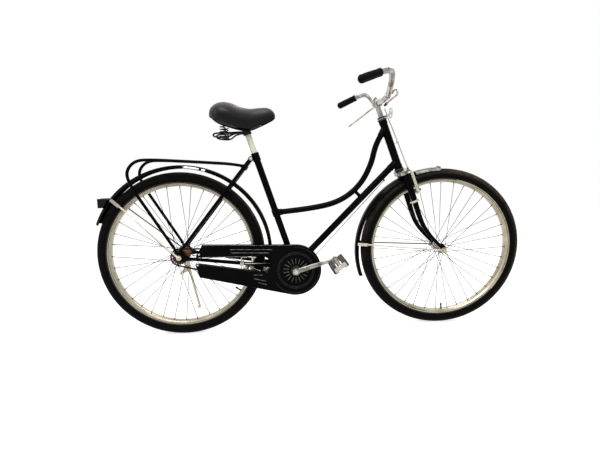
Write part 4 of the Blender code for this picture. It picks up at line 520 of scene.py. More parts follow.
def joined(name, *pieces):
    bm = bmesh.new()
    for piece in pieces:
        bm.from_mesh(piece.data)
        bpy.data.objects.remove(piece, do_unlink=True)
    mesh = bpy.data.meshes.new(name)
    bm.to_mesh(mesh)
    bm.free()
    return newObject(name, mesh)


def bake(piece):  # the evaluated shape becomes the piece's own plain mesh
    graph = bpy.context.evaluated_depsgraph_get()
    mesh = bpy.data.meshes.new_from_object(piece.evaluated_get(graph), depsgraph=graph)
    piece.modifiers.clear()
    piece.data = mesh


def addModifier(piece, kind, **settings):
    modifier = piece.modifiers.new(kind.lower(), kind)
    for key, value in settings.items():
        setattr(modifier, key, value)


def copyOf(node, name, ease=0.0004, angle=38):  # a CAD node's own shape, welded, with eased edges
    bm = bmesh.new()
    bm.from_mesh(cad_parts[node].data)
    bmesh.ops.remove_doubles(bm, verts=bm.verts, dist=0.00002)
    bmesh.ops.dissolve_degenerate(bm, edges=bm.edges, dist=0.00001)
    bmesh.ops.dissolve_limit(bm, angle_limit=radians(0.6), verts=bm.verts, edges=bm.edges)
    mesh = bpy.data.meshes.new(name)
    bm.to_mesh(mesh)
    bm.free()
    if "custom_normal" in mesh.attributes:
        mesh.attributes.remove(mesh.attributes["custom_normal"])
    made = newObject(name, mesh)
    soften(mesh, angle)
    addModifier(made, "BEVEL", width=ease, segments=2, limit_method="ANGLE", angle_limit=radians(angle),
                use_clamp_overlap=True, harden_normals=False)
    bake(made)
    soften(made.data, angle)
    return made


def cutFrom(piece, *tools):
    for tool in tools:
        addModifier(piece, "BOOLEAN", operation="DIFFERENCE", solver="EXACT", object=tool)
    bake(piece)
    for tool in tools:
        bpy.data.objects.remove(tool, do_unlink=True)


# gives a piece its finish and its body, and hides the node that it stands for; the slot is worked out but not given
def dress(piece, body, material, stands=None, slot=None, turn=True):
    if body in turnedBodies and turn:
        piece.data.transform(frontTurn)
    piece.data.materials.clear()
    piece.data.materials.append(finish(material) if isinstance(material, str) else material)
    piece.data.name = piece.name
    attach(piece, body)
    if stands:
        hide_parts(stands)
    slot = finishes[material][0] if slot is None else slot
    return piece


# Geometry Nodes: round rods along edges, copies on points, coils


def newTree(name, inputs, draw):
    tree = bpy.data.node_groups.new(name, "GeometryNodeTree")
    for label, kind in {"geometry": "Geometry", **inputs, "material": "Material"}.items():
        tree.interface.new_socket(label, in_out="INPUT", socket_type="NodeSocket" + kind)
    tree.interface.new_socket("Geometry", in_out="OUTPUT", socket_type="NodeSocketGeometry")
    start = addNode(tree, "NodeGroupInput").outputs
    real = addNode(tree, "GeometryNodeRealizeInstances", {0: draw(tree, start)}).outputs[0]
    coated = addNode(tree, "GeometryNodeSetMaterial", {"Geometry": real, "Material": start["material"]})
    addNode(tree, "NodeGroupOutput", {0: coated.outputs[0]})
    return tree


def drawTube(tree, line, radius, sides):
    ring = addNode(tree, "GeometryNodeCurvePrimitiveCircle", {"Radius": radius, "Resolution": sides}).outputs[0]
    ends = {"Curve": line, "Profile Curve": ring, "Fill Caps": True}
    return addNode(tree, "GeometryNodeCurveToMesh", ends).outputs[0]


def drawRods(tree, start):
    line = addNode(tree, "GeometryNodeMeshToCurve", {0: start["geometry"]}).outputs[0]
    return drawTube(tree, line, start["radius"], start["sides"])


def drawCopies(tree, start):  # the model's Z follows the aim and its X the side
    aim, side = [addNode(tree, "GeometryNodeInputNamedAttribute", {"Name": label}, data_type="FLOAT_VECTOR").outputs[0]
                 for label in ("aim", "side")]
    kind = "FunctionNodeAlignRotationToVector"
    first = addNode(tree, kind, {"Vector": aim}, axis="Z").outputs[0]
    turn = addNode(tree, kind, {"Vector": side, "Rotation": first}, axis="X", pivot_axis="Z").outputs[0]
    model = addNode(tree, "GeometryNodeObjectInfo", {"Object": start["copy"]}).outputs["Geometry"]
    return addNode(tree, "GeometryNodeInstanceOnPoints", {"Points": start["geometry"], "Instance": model,
                                                          "Rotation": turn}).outputs[0]


def drawCoil(tree, start):
    line = addNode(tree, "GeometryNodeCurveSpiral", {
        "Resolution": 28, "Rotations": start["turns"], "Start Radius": start["coilRadius"],
        "End Radius": start["coilRadius"], "Height": start["height"]}).outputs[0]
    return addNode(tree, "GeometryNodeTransform", {"Geometry": drawTube(tree, line, start["wire"], 12),
                                                   "Translation": start["place"]}).outputs[0]


rodsAlongEdges = newTree("rods along edges", {"radius": "Float", "sides": "Int"}, drawRods)
copiesOnPoints = newTree("copies on points", {"copy": "Object"}, drawCopies)
coilMaker = newTree("coil", {"turns": "Float", "coilRadius": "Float", "height": "Float", "wire": "Float",
                             "place": "Vector"}, drawCoil)


def grown(piece, tree, material, **values):  # runs a tree on a piece and keeps the plain mesh
    modifier = piece.modifiers.new("grown", "NODES")
    modifier.node_group = tree
    values["material"] = finish(material)
    for item in tree.interface.items_tree:
        if item.name in values:
            modifier[item.identifier] = values[item.name]
    bake(piece)
    soften(piece.data)
    return piece


def rodsOn(name, runs, radius, sides, material):  # along open lines
    points, edges = [], []
    for run in runs:
        edges += [(len(points) + k, len(points) + k + 1) for k in range(len(run) - 1)]
        points += run
    return grown(meshOf(name, points, edges), rodsAlongEdges, material, radius=radius, sides=sides)


def copiesOn(name, places, model, material):  # of a model that stands on the origin, from (point, aim, side) rows
    made = meshOf(name, [row[0] for row in places])
    for label, column in (("aim", 1), ("side", 2)):
        attribute = made.data.attributes.new(label, "FLOAT_VECTOR", "POINT")
        attribute.data.foreach_set("vector", [number for row in places for number in row[column]])
    grown(made, copiesOnPoints, material, copy=model)
    bpy.data.objects.remove(model, do_unlink=True)
    return made


# wheels

tyre = {"width": 0.044, "crown": 0.0215, "beadHalf": 0.016, "beadRadius": 0.3105, "beadDrop": 0.0395, "steps": 168,
        "grooves": (-0.0128, -0.0085, -0.0042, 0.0, 0.0042, 0.0085, 0.0128), "grooveWidth": 0.0011,
        "grooveDepth": 0.0008, "ridges": (72, 96, 118), "ridge": 0.0003, "frontDust": 0.024, "rearDust": 0.01}
rim = {"half": 0.0187, "edge": 0.3135, "inner": 0.2965, "steps": 168, "frontValve": 275.0, "rearValve": 325.0}
spokes = {"count": 36, "crosses": 3, "radius": 0.0011, "sides": 6, "nippleLength": 0.0115, "nippleRadius": 0.0019,
          "holeInset": 0.004}
hubs = {"front": {"flange": 0.02, "side": 0.031, "barrel": 0.0115, "half": 0.0495, "neck": (0.0095, 0.0095)},
        "rear": {"flange": 0.029, "side": 0.029, "barrel": 0.0185, "half": 0.0545, "neck": (0.0135, 0.015)}}
axles = {"front": 0.0568, "rear": 0.0664, "standPlate": 0.0031, "past": 0.0118, "frontCollar": 0.013,
         "rearCollar": 0.01, "nut": 0.0088}


def around(name, profile, centre, steps):  # a closed (side, radius) profile carried round the wheel
    rings = [[polar(centre, radius, 360.0 * k / steps, side) for side, radius in profile] for k in range(steps)]
    return skin(name, rings, loop=True)


def tyreProfile():
    half, crown, bead = tyre["width"] / 2, bike["wheelRadius"] - tyre["crown"], tyre["beadHalf"]
    stops = [(radians(turn), 0.0) for turn in range(-128, 129, 8) if abs(turn) > 40]
    for side in tyre["grooves"]:
        for off, deep in ((-0.5, 0.0), (-0.25, 1.0), (0.25, 1.0), (0.5, 0.0)):
            stops.append((asin((side + off * tyre["grooveWidth"]) / half), deep * tyre["grooveDepth"]))
    points = []
    for turn, deep in sorted(stops):
        raised = tyre["ridge"] * sum(exp(-((abs(degrees(turn)) - ring) / 3.0) ** 2) for ring in tyre["ridges"])
        points.append(((half - tyre["ridge"] + raised) * sin(turn),
                       crown + (tyre["crown"] - deep + raised) * cos(turn)))
    high, low = bike["wheelRadius"] - tyre["beadDrop"], tyre["beadRadius"]
    return points + [(bead, high), (bead, low), (-bead, low), (-bead, high)]


def makeTyre(end, centre):
    profile, shoulder = tyreProfile(), bike["wheelRadius"] - tyre[end + "Dust"]
    made = around(end + "TyreRubber", profile, centre, tyre["steps"])
    shares = [1.0 if abs(side) < 0.015 and radius > 0.34 else 0.7 * min(1.0, max(0.0, (radius - shoulder) / 0.01))
              for side, radius in profile]
    dustAndShade = []
    for k in range(tyre["steps"]):  # the shoulder dust fades out towards one side of the wheel: painted shade under the mudguard
        dustUnshaded = 0.5 + 0.5 * cos(tau * k / tyre["steps"] - radians(55))
        dustAndShade += [share if share == 1.0 else share * dustUnshaded for share in shares]
    made.data.attributes.new("tread", "FLOAT", "POINT").data.foreach_set("value", dustAndShade)
    dress(made, end + "_wheel", rubber, end + "_tyre", "tyre_rubber")


def makeRim(end, centre):
    half, edge, inner = rim["half"], rim["edge"], rim["inner"]
    side = [(0.0, edge - 0.006),
            *mm((-3, -4.8), (-2.3, -2), (-2, 0.2), (-1.4, 1), (-0.6, 1), (0, 0.2), (0, -1), (-0.5, -1.4), (-0.5, -4.6),
                (-0.5, -7.2), (-0.2, -7.8), (-0.6, -8.8), (-3.5, -10), wide=half, long=edge),
            (half * 0.6, inner + 0.0022), (half * 0.42, inner + 0.0003), (half * 0.18, inner)]
    made = around(end + "RimHoop", side + [(-x, y) for x, y in reversed(side[1:])], centre, rim["steps"])
    dress(made, end + "_wheel", "rim metal", end + "_rim")
    made.data.materials.append(finish("rim shade"))
    for face in made.data.polygons:  # the lip under the tyre and the line along the wall lie in shade
        drop = edge - hypot(face.center.x - centre.x, face.center.z - centre.z)
        face.material_index = drop < 0.004 or 0.0074 < drop < 0.009
    out = polar(origin, 1, rim[end + "Valve"])
    valve = lathe(end + "Valve", mm((0, 0), (5.2, 0), (5.2, 2.2), (3.4, 3), (3.4, 15), (3, 15.5), (3, 16.5), (4, 17),
                                    (4, 24.5), (2.8, 27.5), (0, 28)), centre + out * (inner + 0.001), -out, 20)
    dress(valve, end + "_wheel", "chain steel", slot="dark_steel")


def spokeEnds(centre, flange, flangeSide):
    perSide = spokes["count"] // 2
    spacing = 360.0 / perSide
    for side in (-1, 1):
        for k in range(perSide):
            lead = 1 if k % 2 else -1
            hole = spacing * (k + (0.5 if side > 0 else 0.0))
            yield (polar(centre, flange - spokes["holeInset"], hole, side * (flangeSide + lead * 0.0012)),
                   polar(centre, rim["inner"], hole + lead * spokes["crosses"] * spacing,
                         side * (0.0045 + lead * 0.0028)), side, lead)


def makeSpokes(end, centre, flange, flangeSide):
    runs, nipples, heads = [], [], []
    for hole, reach, side, lead in spokeEnds(centre, flange, flangeSide):
        way = (reach - hole).normalized()
        runs.append([hole - Y * side * lead * 0.0022, hole + way * 0.0007, hole + way * 0.0028, reach])
        nipples.append((reach + way * 0.0004, -way, Y))
        heads.append((hole + Y * side * 0.0022, Y * side, X))
    long, wide = spokes["nippleLength"], spokes["nippleRadius"]
    nipple = lathe("nipple", [(0, 0), (wide * 1.25, 0), (wide * 1.25, 0.0012), (wide, 0.0018), (wide, long * 0.55),
                              (wide * 0.8, long * 0.6), (wide * 0.74, long), (0, long)], origin, Z, 8)
    head = lathe("head", mm((0, 0), (2.1, 0), (1.9, 0.6), (1.1, 1), (0, 1.1)), origin, Z, 8)
    for made in (rodsOn(end + "Spokes", runs, spokes["radius"], spokes["sides"], "spoke zinc"),
                 copiesOn(end + "Nipples", nipples, nipple, "brass nut"),
                 copiesOn(end + "SpokeHeads", heads, head, "spoke zinc")):
        dress(made, end + "_wheel", "spoke zinc")


def hubHalf(size, neck):  # from the middle of the barrel to the end of the hub
    flange, edge, inner = size["flange"], size["side"] + 0.002, size["side"] - 0.002
    return [(size["barrel"] - 0.0008, 0.006),
            *mm((0, -5.5), (1.2, -2.4), (5, -0.4), wide=size["barrel"], long=inner),
            *mm((-0.8, 0), (0, 0.8), wide=flange, long=inner), *mm((0, -0.8), (-0.8, 0), wide=flange, long=edge),
            *mm((3, 0), (0, 3), wide=neck, long=edge), *mm((0, -0.5), (-0.5, 0), wide=neck, long=size["half"]),
            (0.0054, size["half"])]


def makeHub(end, centre):
    size = hubs[end]
    left, right = [hubHalf(size, neck) for neck in size["neck"]]
    made = lathe(end + "HubShell", bothWays(right, left), centre, Y, 48)
    dress(made, end + "_wheel", "hub rust" if end == "rear" else "aged chrome", end + "_hub")
    makeSpokes(end, centre, size["flange"], size["side"])


def makeAxle(end, centre, starts, body):  # a threaded axle, and at each end a collar, a washer and a nut
    low, high = -starts[0] - axles["past"], starts[1] + axles["past"]
    threads = [[point for k in range(12) for point in mm((4.7, k), (4.2, k + 0.5), long=first)]
               for first in (low + 0.0009, high - 0.013)]
    shaft = [*mm((0, 0), (3.8, 0), (4.7, 0.9), long=low), *threads[0], (0.0047, low + 0.0129), (0.0047, high - 0.013),
             *threads[1], *mm((4.7, -0.9), (3.8, 0), (0, 0), long=high)]
    dress(lathe(end + "AxleThread", shaft, centre, Y, 20), body, "pale zinc", end + "_axle")
    wide, nut, nuts = axles[end + "Collar"], axles["nut"], []
    for start, hand in zip(starts, (-1, 1)):
        outline = mm((-0.5, -0.2), (0, 0.2), (-0.2, 1.2), (-2, 1.8), wide=wide, long=start)
        nuts.append(lathe("collar", [(0.005, start - 0.0002), *outline, (0.005, start + 0.0018)], centre, Y * hand, 36))
    for start, hand in zip(starts, (-1, 1)):
        nuts += [lathe("nut", [(0.0046, start + 0.0012), *mm((-0.4, 1.2), (0, 1.7), wide=nut, long=start),
                               *mm((0, -0.9), (-1.2, 0), wide=nut, long=start + nut), (0.0046, start + nut)],
                       centre, Y * hand, 6, 0.25, 20),
                 disc("washer", 0.0046, nut + 0.0016, start, start + 0.0013, centre, Y * hand, 28)]
    dress(joined(end + "AxleNuts", *nuts), body, "brass nut" if end == "front" else "stay cream")


for end, centre in (("front", frontAxle), ("rear", rearAxle)):
    makeTyre(end, centre)
    makeRim(end, centre)
    makeHub(end, centre)
makeAxle("front", frontAxle, (axles["front"], axles["front"]), "steering")
makeAxle("rear", rearAxle, (axles["rear"], axles["rear"] + axles["standPlate"]), "frame")
print("wheels are made")

# frame

tubes = {"down": 0.0143, "downJoin": 0.4352, "swan": 0.0125, "swanJoin": 0.593, "seat": 0.0143, "seatLength": 0.5265,
         "lugReach": 0.042, "socket": 0.038, "lugWall": 0.0014, "lug": 0.0168, "lugLength": 0.036, "collarAt": 0.2555,
         "head": 0.0165, "boltDrop": 0.018}
downTop, swanTop, binder = steer(tubes["downJoin"]), steer(tubes["swanJoin"]), tubes["seatLength"] - tubes["boltDrop"]
downWay = (downTop - crankCentre).normalized()
upperCrank = downTop - downWay * 0.0901 + Y * 0.0267
lowerCrank = crankCentre + downWay * 0.055 + Y * 0.0165
swanPath = [swanTop, at(0.8475, 0.815), at(0.8245, 0.735), at(0.787, 0.662), at(0.732, 0.606),
            at(0.659, 0.568), at(0.558, 0.547), seat(tubes["collarAt"])]


def lugStub(joint, along, radius):  # a socket with a thin rolled lip
    wide, reach = radius + tubes["lugWall"], tubes["lugReach"]
    return lathe("stub", [(0, 0), (wide, 0), *mm((0, -5), (0.5, -4.2), (0.5, -1.4), (0, -0.4), wide=wide, long=reach),
                          (radius + 0.0002, reach), (0, reach)], joint, along, 32)


def makeHead():
    low, high, radius = bike["headLow"], bike["headTop"], tubes["head"]
    band = radius + tubes["lugWall"]
    profile = [(0.014, low), *mm((-0.4, 0), (0, 0.6), (0, 16.5), (-0.5, 17.6), wide=band, long=low),
               (radius, low + 0.0182), (radius, high - 0.0182),
               *mm((-0.5, -17.6), (0, -16.5), (0, -0.6), (-0.4, 0), wide=band, long=high), (0.014, high)]
    made = joined("headTube", lathe("head", profile, steerFoot, steerUp, 40),
                  lugStub(downTop, crankCentre - downTop, tubes["down"]),
                  lugStub(swanTop, swanPath[1] - swanTop, tubes["swan"]))
    dress(made, "frame", "black enamel", "head_tube")


def makeDownTube():
    way = downWay * tubes["socket"]
    pieces = [rod("tube", downTop - way, crankCentre + way, tubes["down"], 32)]
    for place in (upperCrank, lowerCrank):
        tall = place.y - 0.0083
        pieces.append(lathe("boss", [*mm((0, 0), (5.2, 0), (4.2, 4)), (0.0042, tall), (0, tall)],
                            Vector((place.x, 0.008, place.z)), Y, 20))
    dress(joined("downTube", *pieces), "frame", "black enamel", "down_tube")


def makeSwanTube():
    along = (swanPath[1] - swanPath[0]).normalized()
    start = swanTop + along * tubes["socket"]
    path = [point for point in flowing(swanPath, 9) if (point - start).length > 0.012 and point.z < start.z]
    wide, place, top = tubes["seat"], tubes["collarAt"], at(0.753, 0.621)
    foot = downTop + downWay * (top - downTop).dot(downWay)
    reach = (top - foot).length
    made = joined("swanTube", sweep("tube", [start, start + along * 0.006] + path, tubes["swan"], 28),
                  collar("sleeve", wide - 0.001, wide + 0.0024, place - 0.015, place + 0.015, 0.001, 0.001,
                         crankCentre, seatUp, 32),
                  lathe("strut", [*mm((0, 12.5), (10, 13), (8.2, 16.5), (7.5, 20)), (0.0075, reach - 0.014),
                                  (0.009, reach - 0.009), (0, reach)], foot, top - foot, 24),
                  lathe("cuff", mm((0, 12), (14.6, 14), (14.4, 26), (12.6, 30), (0, 30)), swanPath[-1],
                        swanPath[-2] - swanPath[-1], 28))
    dress(made, "frame", "black enamel", "swan_tube")


def makeSeatTube():
    bore, top, reach, wide, outer = 0.0133, tubes["seatLength"], tubes["socket"], tubes["seat"], tubes["lug"]
    lug = top - tubes["lugLength"]
    profile = [(bore, reach), (wide, reach), (wide, lug - 0.0006), (outer - 0.0008, lug), (outer, lug + 0.0009),
               *mm((0, -3.6), (0.6, -3), (0.6, -0.6), (0, 0), wide=outer, long=top), (bore, top)]
    ears = [block("ear", seat(binder, 0.023, side), (0.016, 0.0085, 0.015), seatBack, ease=0.0015)
            for side in (-0.0075, 0.0075)]
    tube = joined("seatTube", lathe("tube", profile, crankCentre, seatUp, 32), *ears)
    dress(tube, "frame", "black enamel", "seat_tube")
    centre, side = seat(binder, 0.0225), 0.0258
    heads = [lathe("head", mm((0, 0), (8.2, 0), (8.2, 1), (6.6, 1), (6.6, 4.2), (5.5, 5), (0, 5), long=side), centre,
                   Y * hand, 6, 0.0, 20) for hand in (-1, 1)]
    shank = rod("shank", centre - Y * side, centre + Y * side, 0.0035, 16)
    dress(joined("seatBolt", shank, *heads), "frame", "pale zinc", "seat_bolt")


makeHead()
makeDownTube()
makeSwanTube()
makeSeatTube()
for node, name in (("bottom_bracket_shell", "bottomBracketShell"), ("right_chainstay", "rightChainstay"),
                   ("left_chainstay", "leftChainstay"), ("seat_stays", "seatStays")):
    dress(copyOf(node, name), "frame", "black enamel", node)
print("frame is made")

# fork, headset and stem

fork = {"crownHeight": 0.0195, "crownLength": 0.027, "crownWidth": 0.053, "sideTop": 0.042, "sideLow": 0.053,
        "tipSide": 0.0515, "tipThick": 0.003, "slot": 0.0053, "strapAt": 0.2505,
        "path": ((0.3727, 0.0085), (0.3, 0.0085), (0.235, 0.0065), (0.185, 0.005), (0.135, 0.0078), (0.088, 0.02),
                 (0.045, 0.0372), (0.012, 0.0525)),
        "crown": ((0, 0.93), (0.6, 0.965), (1.8, 0.99), (3, 1.0), (5.2, 1.0), (6, 0.975), (13.5, 0.975), (14.3, 1.0),
                  (16.5, 1.0), (17.7, 0.985), (18.9, 0.955), (19.5, 0.9))}
head = {"cup": 0.0205, "bore": 0.0131, "steererTop": 0.6406, "rodTop": 0.668}


def makeCrown():
    rings = [circle(steer(bike["crownLow"] + height / 1000, 0.002), steerAhead, Y, 48, fork["crownLength"] * swell,
                    fork["crownWidth"] * swell) for height, swell in fork["crown"]]
    steerer = rod("steerer", steer(bike["crownLow"] + 0.01), steer(head["steererTop"] - 0.0003), 0.0125, 28)
    dress(joined("forkCrown", skin("crown", rings), steerer), "steering", "cast nickel", "fork_crown")


def bladePlace(height, ahead, side):
    out = fork["sideLow"] + (fork["sideTop"] - fork["sideLow"]) * height / bike["crownLow"]
    return steer(height, ahead, side * out)


def makeBlade(name, side):
    blade = sweep("blade", flowing([bladePlace(*point, side) for point in fork["path"]]),
                  lambda t: (0.0095 - 0.004 * t, 0.0145 - 0.008 * t ** 1.3), 28)
    low, high = sorted((side * fork["tipSide"], side * (fork["tipSide"] + fork["tipThick"])))
    slot, rake = fork["slot"], bike["forkRake"]
    outline = mm((50, 30), (60, 30), (65.5, 19), (68, 8), (68.5, 0), (67, -8), (63.5, -13.5))
    outline += [(rake + slot, -0.015), (rake + slot, 0.0)]
    outline += [(rake + slot * cos(radians(a)), slot * sin(radians(a))) for a in range(20, 180, 20)]
    outline += [(rake - slot, 0.0), (rake - slot, -0.0142), *mm((45.5, -10.5), (42, -4), (41.5, 3), (43, 8))]
    points = [steer(height, ahead) for ahead, height in outline]
    tip = easeEdges(plate("tip", [(point.x, point.z) for point in points], low, high), 0.0004)
    dress(joined(name + "ForkBlade", blade, tip), "steering", "black enamel", name + "_fork_blade")


def makeStrap():  # the bright strap round the near blade
    centre = bladePlace(fork["strapAt"], 0.007, -1)
    rings = [circle(centre + steerUp * height, steerAhead * 0.015 * swell + steerUp * 0.0012, Y, 32, 1.0,
                    0.0098 * swell)
             for height, swell in ((-0.0045, 1.0), (-0.004, 1.06), (0.004, 1.06), (0.0045, 1.0))]
    on = centre - Y * 0.004
    made = joined("bladeStrap", skin("strap", rings),
                  rod("screw", on + steerAhead * 0.014, on + steerAhead * 0.0225, 0.0024, 12),
                  disc("nut", 0, 0.0042, 0, 0.0034, on + steerAhead * 0.0185, steerAhead, 6, 0, 20),
                  rod("tail", centre - steerAhead * 0.0145, centre - steerAhead * 0.0205, 0.003, 12))
    dress(made, "steering", "pale zinc")


def makeHeadset():
    low, top = bike["headLow"], bike["headTop"]
    base = bike["crownLow"] + fork["crownHeight"] + bike["gap"]
    lower = [*mm((13.1, 0), (19, 0), (19.6, 0.8), (19.8, 2.6), (19, 3.2), (19, 4), (20.2, 5), long=base),
             *mm((20.5, -3), (20.2, -1.2), (19, -0.3), (13.1, -0.3), long=low)]
    upper = mm((13.1, 0.3), (18.8, 0.3), (20.2, 1.4), (20.5, 2.6), (20.5, 5.2), (19.9, 6), (17.8, 6.8), (13.1, 6.8),
               long=top)
    for place, profile in (("lower", lower), ("upper", upper)):
        cup = lathe(place + "HeadsetCup", profile, steerFoot, steerUp, 40)
        dress(cup, "steering", "dark steel", place + "_headset_cup")
    base = top + 0.0068 + 0.0029
    nut = lathe("nut", [*mm((13.1, 1.2), (17.8, 1.2), (18.2, 1.8), long=base),
                        *mm((18.2, -1.8), (17, -0.8), (13.1, 0), long=head["steererTop"])], steerFoot, steerUp, 8,
                0.5, 20)
    ring = disc("ring", head["bore"], 0.0186, base, base + 0.0012, steerFoot, steerUp, 40)
    dress(joined("headsetLocknut", nut, ring), "steering", "dark steel", "headset_locknut")


makeCrown()
makeBlade("right", -1)
makeStrap()
makeBlade("left", 1)
makeHeadset()
dress(copyOf("lamp_bracket", "lampBracket", 0.0003), "steering", "bright strip", "lamp_bracket", turn=False)

# handlebar, stem, grips and brake lever

bars = {"radius": 0.011, "height": 0.6974, "forward": 0.0053, "clampRadius": 0.017, "clampHalf": 0.017,
        "clipSide": 0.105, "gripRadius": 0.0147, "gripLength": 0.098, "gripRibs": 16, "stemTop": 0.718,
        "half": [(0, 0, 0), (0, 0.024, 0), (0.001, 0.045, 0.0005), (0.0065, 0.07, 0.0035), (0.0126, 0.112, 0.014),
                 (0.0102, 0.152, 0.0355), (0.0044, 0.193, 0.0592), (-0.0092, 0.2275, 0.0778),
                 (-0.0444, 0.248, 0.0715), (-0.0903, 0.268, 0.0513), (-0.1234, 0.2883, 0.0383)]}
leverRod = at(0.883, 1.019)
lever = {"radius": 0.0036, "shaft": 0.0038, "curls": 9, "curl": 0.0047, "curlWire": 0.00095,
         "handle": ((0.883, 1.019, 0.128), (0.884, 1.018, 0.15), (0.885, 1.012, 0.165), (0.88, 1.003, 0.179),
                    (0.864, 0.993, 0.192), (0.83, 0.966, 0.224), (0.7718, 0.9225, 0.272)),
         "return": ((0.883, 1.019, -0.142), (0.8835, 1.018, -0.16), (0.886, 1.008, -0.171), (0.885, 0.9965, -0.166),
                    (0.88, 0.9905, -0.12), (0.8772, 0.9845, -0.06), (0.8795, 0.9815, -0.012))}
barMiddle = steer(bars["height"], bars["forward"])


def barPath(side=None):
    left = [barMiddle + Vector(point) for point in bars["half"]]
    right = [Vector((point.x, -point.y, point.z)) for point in left]
    return flowing({1: left, -1: right}.get(side, right[:0:-1] + left))


def makeBar():
    pieces = [sweep("bar", barPath(), bars["radius"], 28)]
    for side in (-1, 1):
        eye = Vector((leverRod.x, side * bars["clipSide"], leverRod.z))
        foot, on = [min(barPath(side), key=lambda point: abs(point.y - eye.y - side * off)) for off in (0, 0.012)]
        pieces += [collar("band", 0.0109, 0.013, -0.0055, 0.0055, 0.0006, 0.0007, foot, on - foot, 28),
                   rod("neck", foot + (eye - foot).normalized() * 0.0095, eye, 0.0046, 16),
                   collar("eye", 0.0039, 0.008, -0.0045, 0.0045, 0.0008, 0.0008, eye, Y, 24)]
    dress(joined("handlebarTube", *pieces), "steering", "aged chrome", "handlebar")


def makeStem():
    top, half, wide = bars["stemTop"], bars["clampHalf"], bars["clampRadius"]
    clamp = [*mm((-2.2, -6.5), (-0.6, -3.5), (-0.8, -0.8), (-2.5, 0), wide=wide, long=half), (0.0113, half)]
    quill = [*mm((0, 560), (10.6, 560), (10.8, 560.4), (10.8, 690)),
             *mm((10.8, -2.6), (10, -0.8), (8.5, 0), (0, 0), long=top)]
    pieces = [lathe("quill", quill, steerFoot, steerUp, 32), lathe("clamp", bothWays(clamp), barMiddle, Y, 36),
              block("neck", steer(bars["height"], 0.004), (0.026, 0.019, 0.024), steerUp, ease=0.004, parts=3),
              disc("washer", 0, 0.0098, top, top + 0.0014, steerFoot, steerUp, 24),
              lathe("bolt", mm((0, 1.4), (7.3, 1.4), (7.5, 2), (7.5, 6.2), (6.2, 7.8), (0, 8), long=top), steerFoot,
                    steerUp, 6, 0, 20),
              lathe("pinch", mm((0, 0), (4.8, 0), (5, 0.6), (5, 3.6), (4, 4.4), (0, 4.4)),
                    barMiddle + steerAhead * 0.0155 - Y * 0.008, -Y, 6, 0, 20),
              block("lugs", barMiddle + steerAhead * 0.015, (0.012, 0.015, 0.012), steerAhead, ease=0.0025, parts=3)]
    dress(joined("stemQuill", *pieces), "steering", "dull chrome", "stem")


def makeGrip(name, side):
    path = barPath(side)
    along = (path[-1] - path[-13]).normalized()
    start = path[-1] - along * (bars["gripLength"] - 0.012)
    length = bars["gripLength"] + 0.0035
    first, second = acrossOf(along)
    rings, steps = [], 90
    for k in range(steps + 1):
        run = length * k / steps
        radius = bars["gripRadius"] + 0.001 * sin(pi / 2 * min(1.0, max(0.0, run - 0.012) / 0.06))
        if run < 0.009:  # the collar at the mouth
            radius += 0.0008 * min(1.0, (0.009 - run) / 0.0012) * min(1.0, run / 0.0006 + 0.4)
        if run > length - 0.013:  # the round end
            radius *= sqrt(max(0.03, 1 - ((run - length + 0.013) / 0.0131) ** 2))
        groove = 0.0009 * min(1.0, max(0.0, run - 0.012) / 0.003, max(0.0, 0.08 - run) / 0.004)
        rings.append([start + along * run + (first * cos(tau * s / 96) + second * sin(tau * s / 96))
                      * (radius - groove * max(0.0, cos(bars["gripRibs"] * tau * s / 96)) ** 2) for s in range(96)])
    dress(skin(name + "GripSleeve", rings), "steering", "grip rubber", name + "_grip")


def makeLever():
    path, back = [flowing([at(*point) for point in lever[key]]) for key in ("handle", "return")]
    way = path[-1] - path[-2]
    pieces = [rod("shaft", leverRod - Y * 0.146, leverRod + Y * 0.132, lever["shaft"], 20),
              sweep("handle", path, lambda t: lever["radius"] * (1.0 if t < 0.96 else 1.12), 20),
              lathe("tip", mm((0, -0.8), (3, -0.8), (3.8, 0.4), (4, 1.8), (3.4, 3), (0, 3.6)),
                    path[-1] - way.normalized() * 0.002, way, 20),
              sweep("return", back, lever["radius"], 20)]
    pieces += [disc("stop", 0.003, 0.0062, 0, 0.004, leverRod + Y * place, Y, 24) for place in (-0.116, 0.112)]
    dress(joined("brakeLever", *pieces), "lever", "aged chrome", "brake_lever")
    # the coil spring that pulls the lever back lies on the end of its return, clear of the handlebar at full pull
    line = []
    coiled = [point for point in back if -0.054 < point.y < -0.014]
    for k, (middle, way) in enumerate(evenly(coiled, lever["curls"] * 12)):
        first, second = acrossOf(way)
        line.append(middle + (first * cos(tau * k / 12) + second * sin(tau * k / 12)) * lever["curl"])
    dress(rodsOn("leverSpring", [line], lever["curlWire"], 8, "dark steel"), "lever", "dark steel", slot="zinc")


makeBar()
makeStem()
for name, side in hands:
    makeGrip(name, side)
makeLever()
print("steering is made")

# rod brakes

brake = {"rodForward": 0.038, "rodTopForward": 0.0255, "rod": 0.0025, "arch": 0.0038, "side": 0.0345,
         "blockSide": 0.0152, "block": (0.04, 0.009, 0.011), "stroke": 0.004, "rearAngle": -14.0, "plate": 0.0022,
         "lowerRod": 0.002, "upperAhead": 0.008, "armWide": 0.0125, "shoe": 0.0065, "rearYoke": 0.016}
rearWay = polar(origin, 1, brake["rearAngle"])
lowerArm = rearWay.cross(Y) * (rearAxle - lowerCrank).dot(rearWay.cross(Y))


def blockRest(off):
    reach = sqrt((rim["inner"] - 2 * bike["gap"]) ** 2 - (off + brake["block"][0] / 2) ** 2)
    return reach - brake["stroke"] - brake["block"][2] / 2


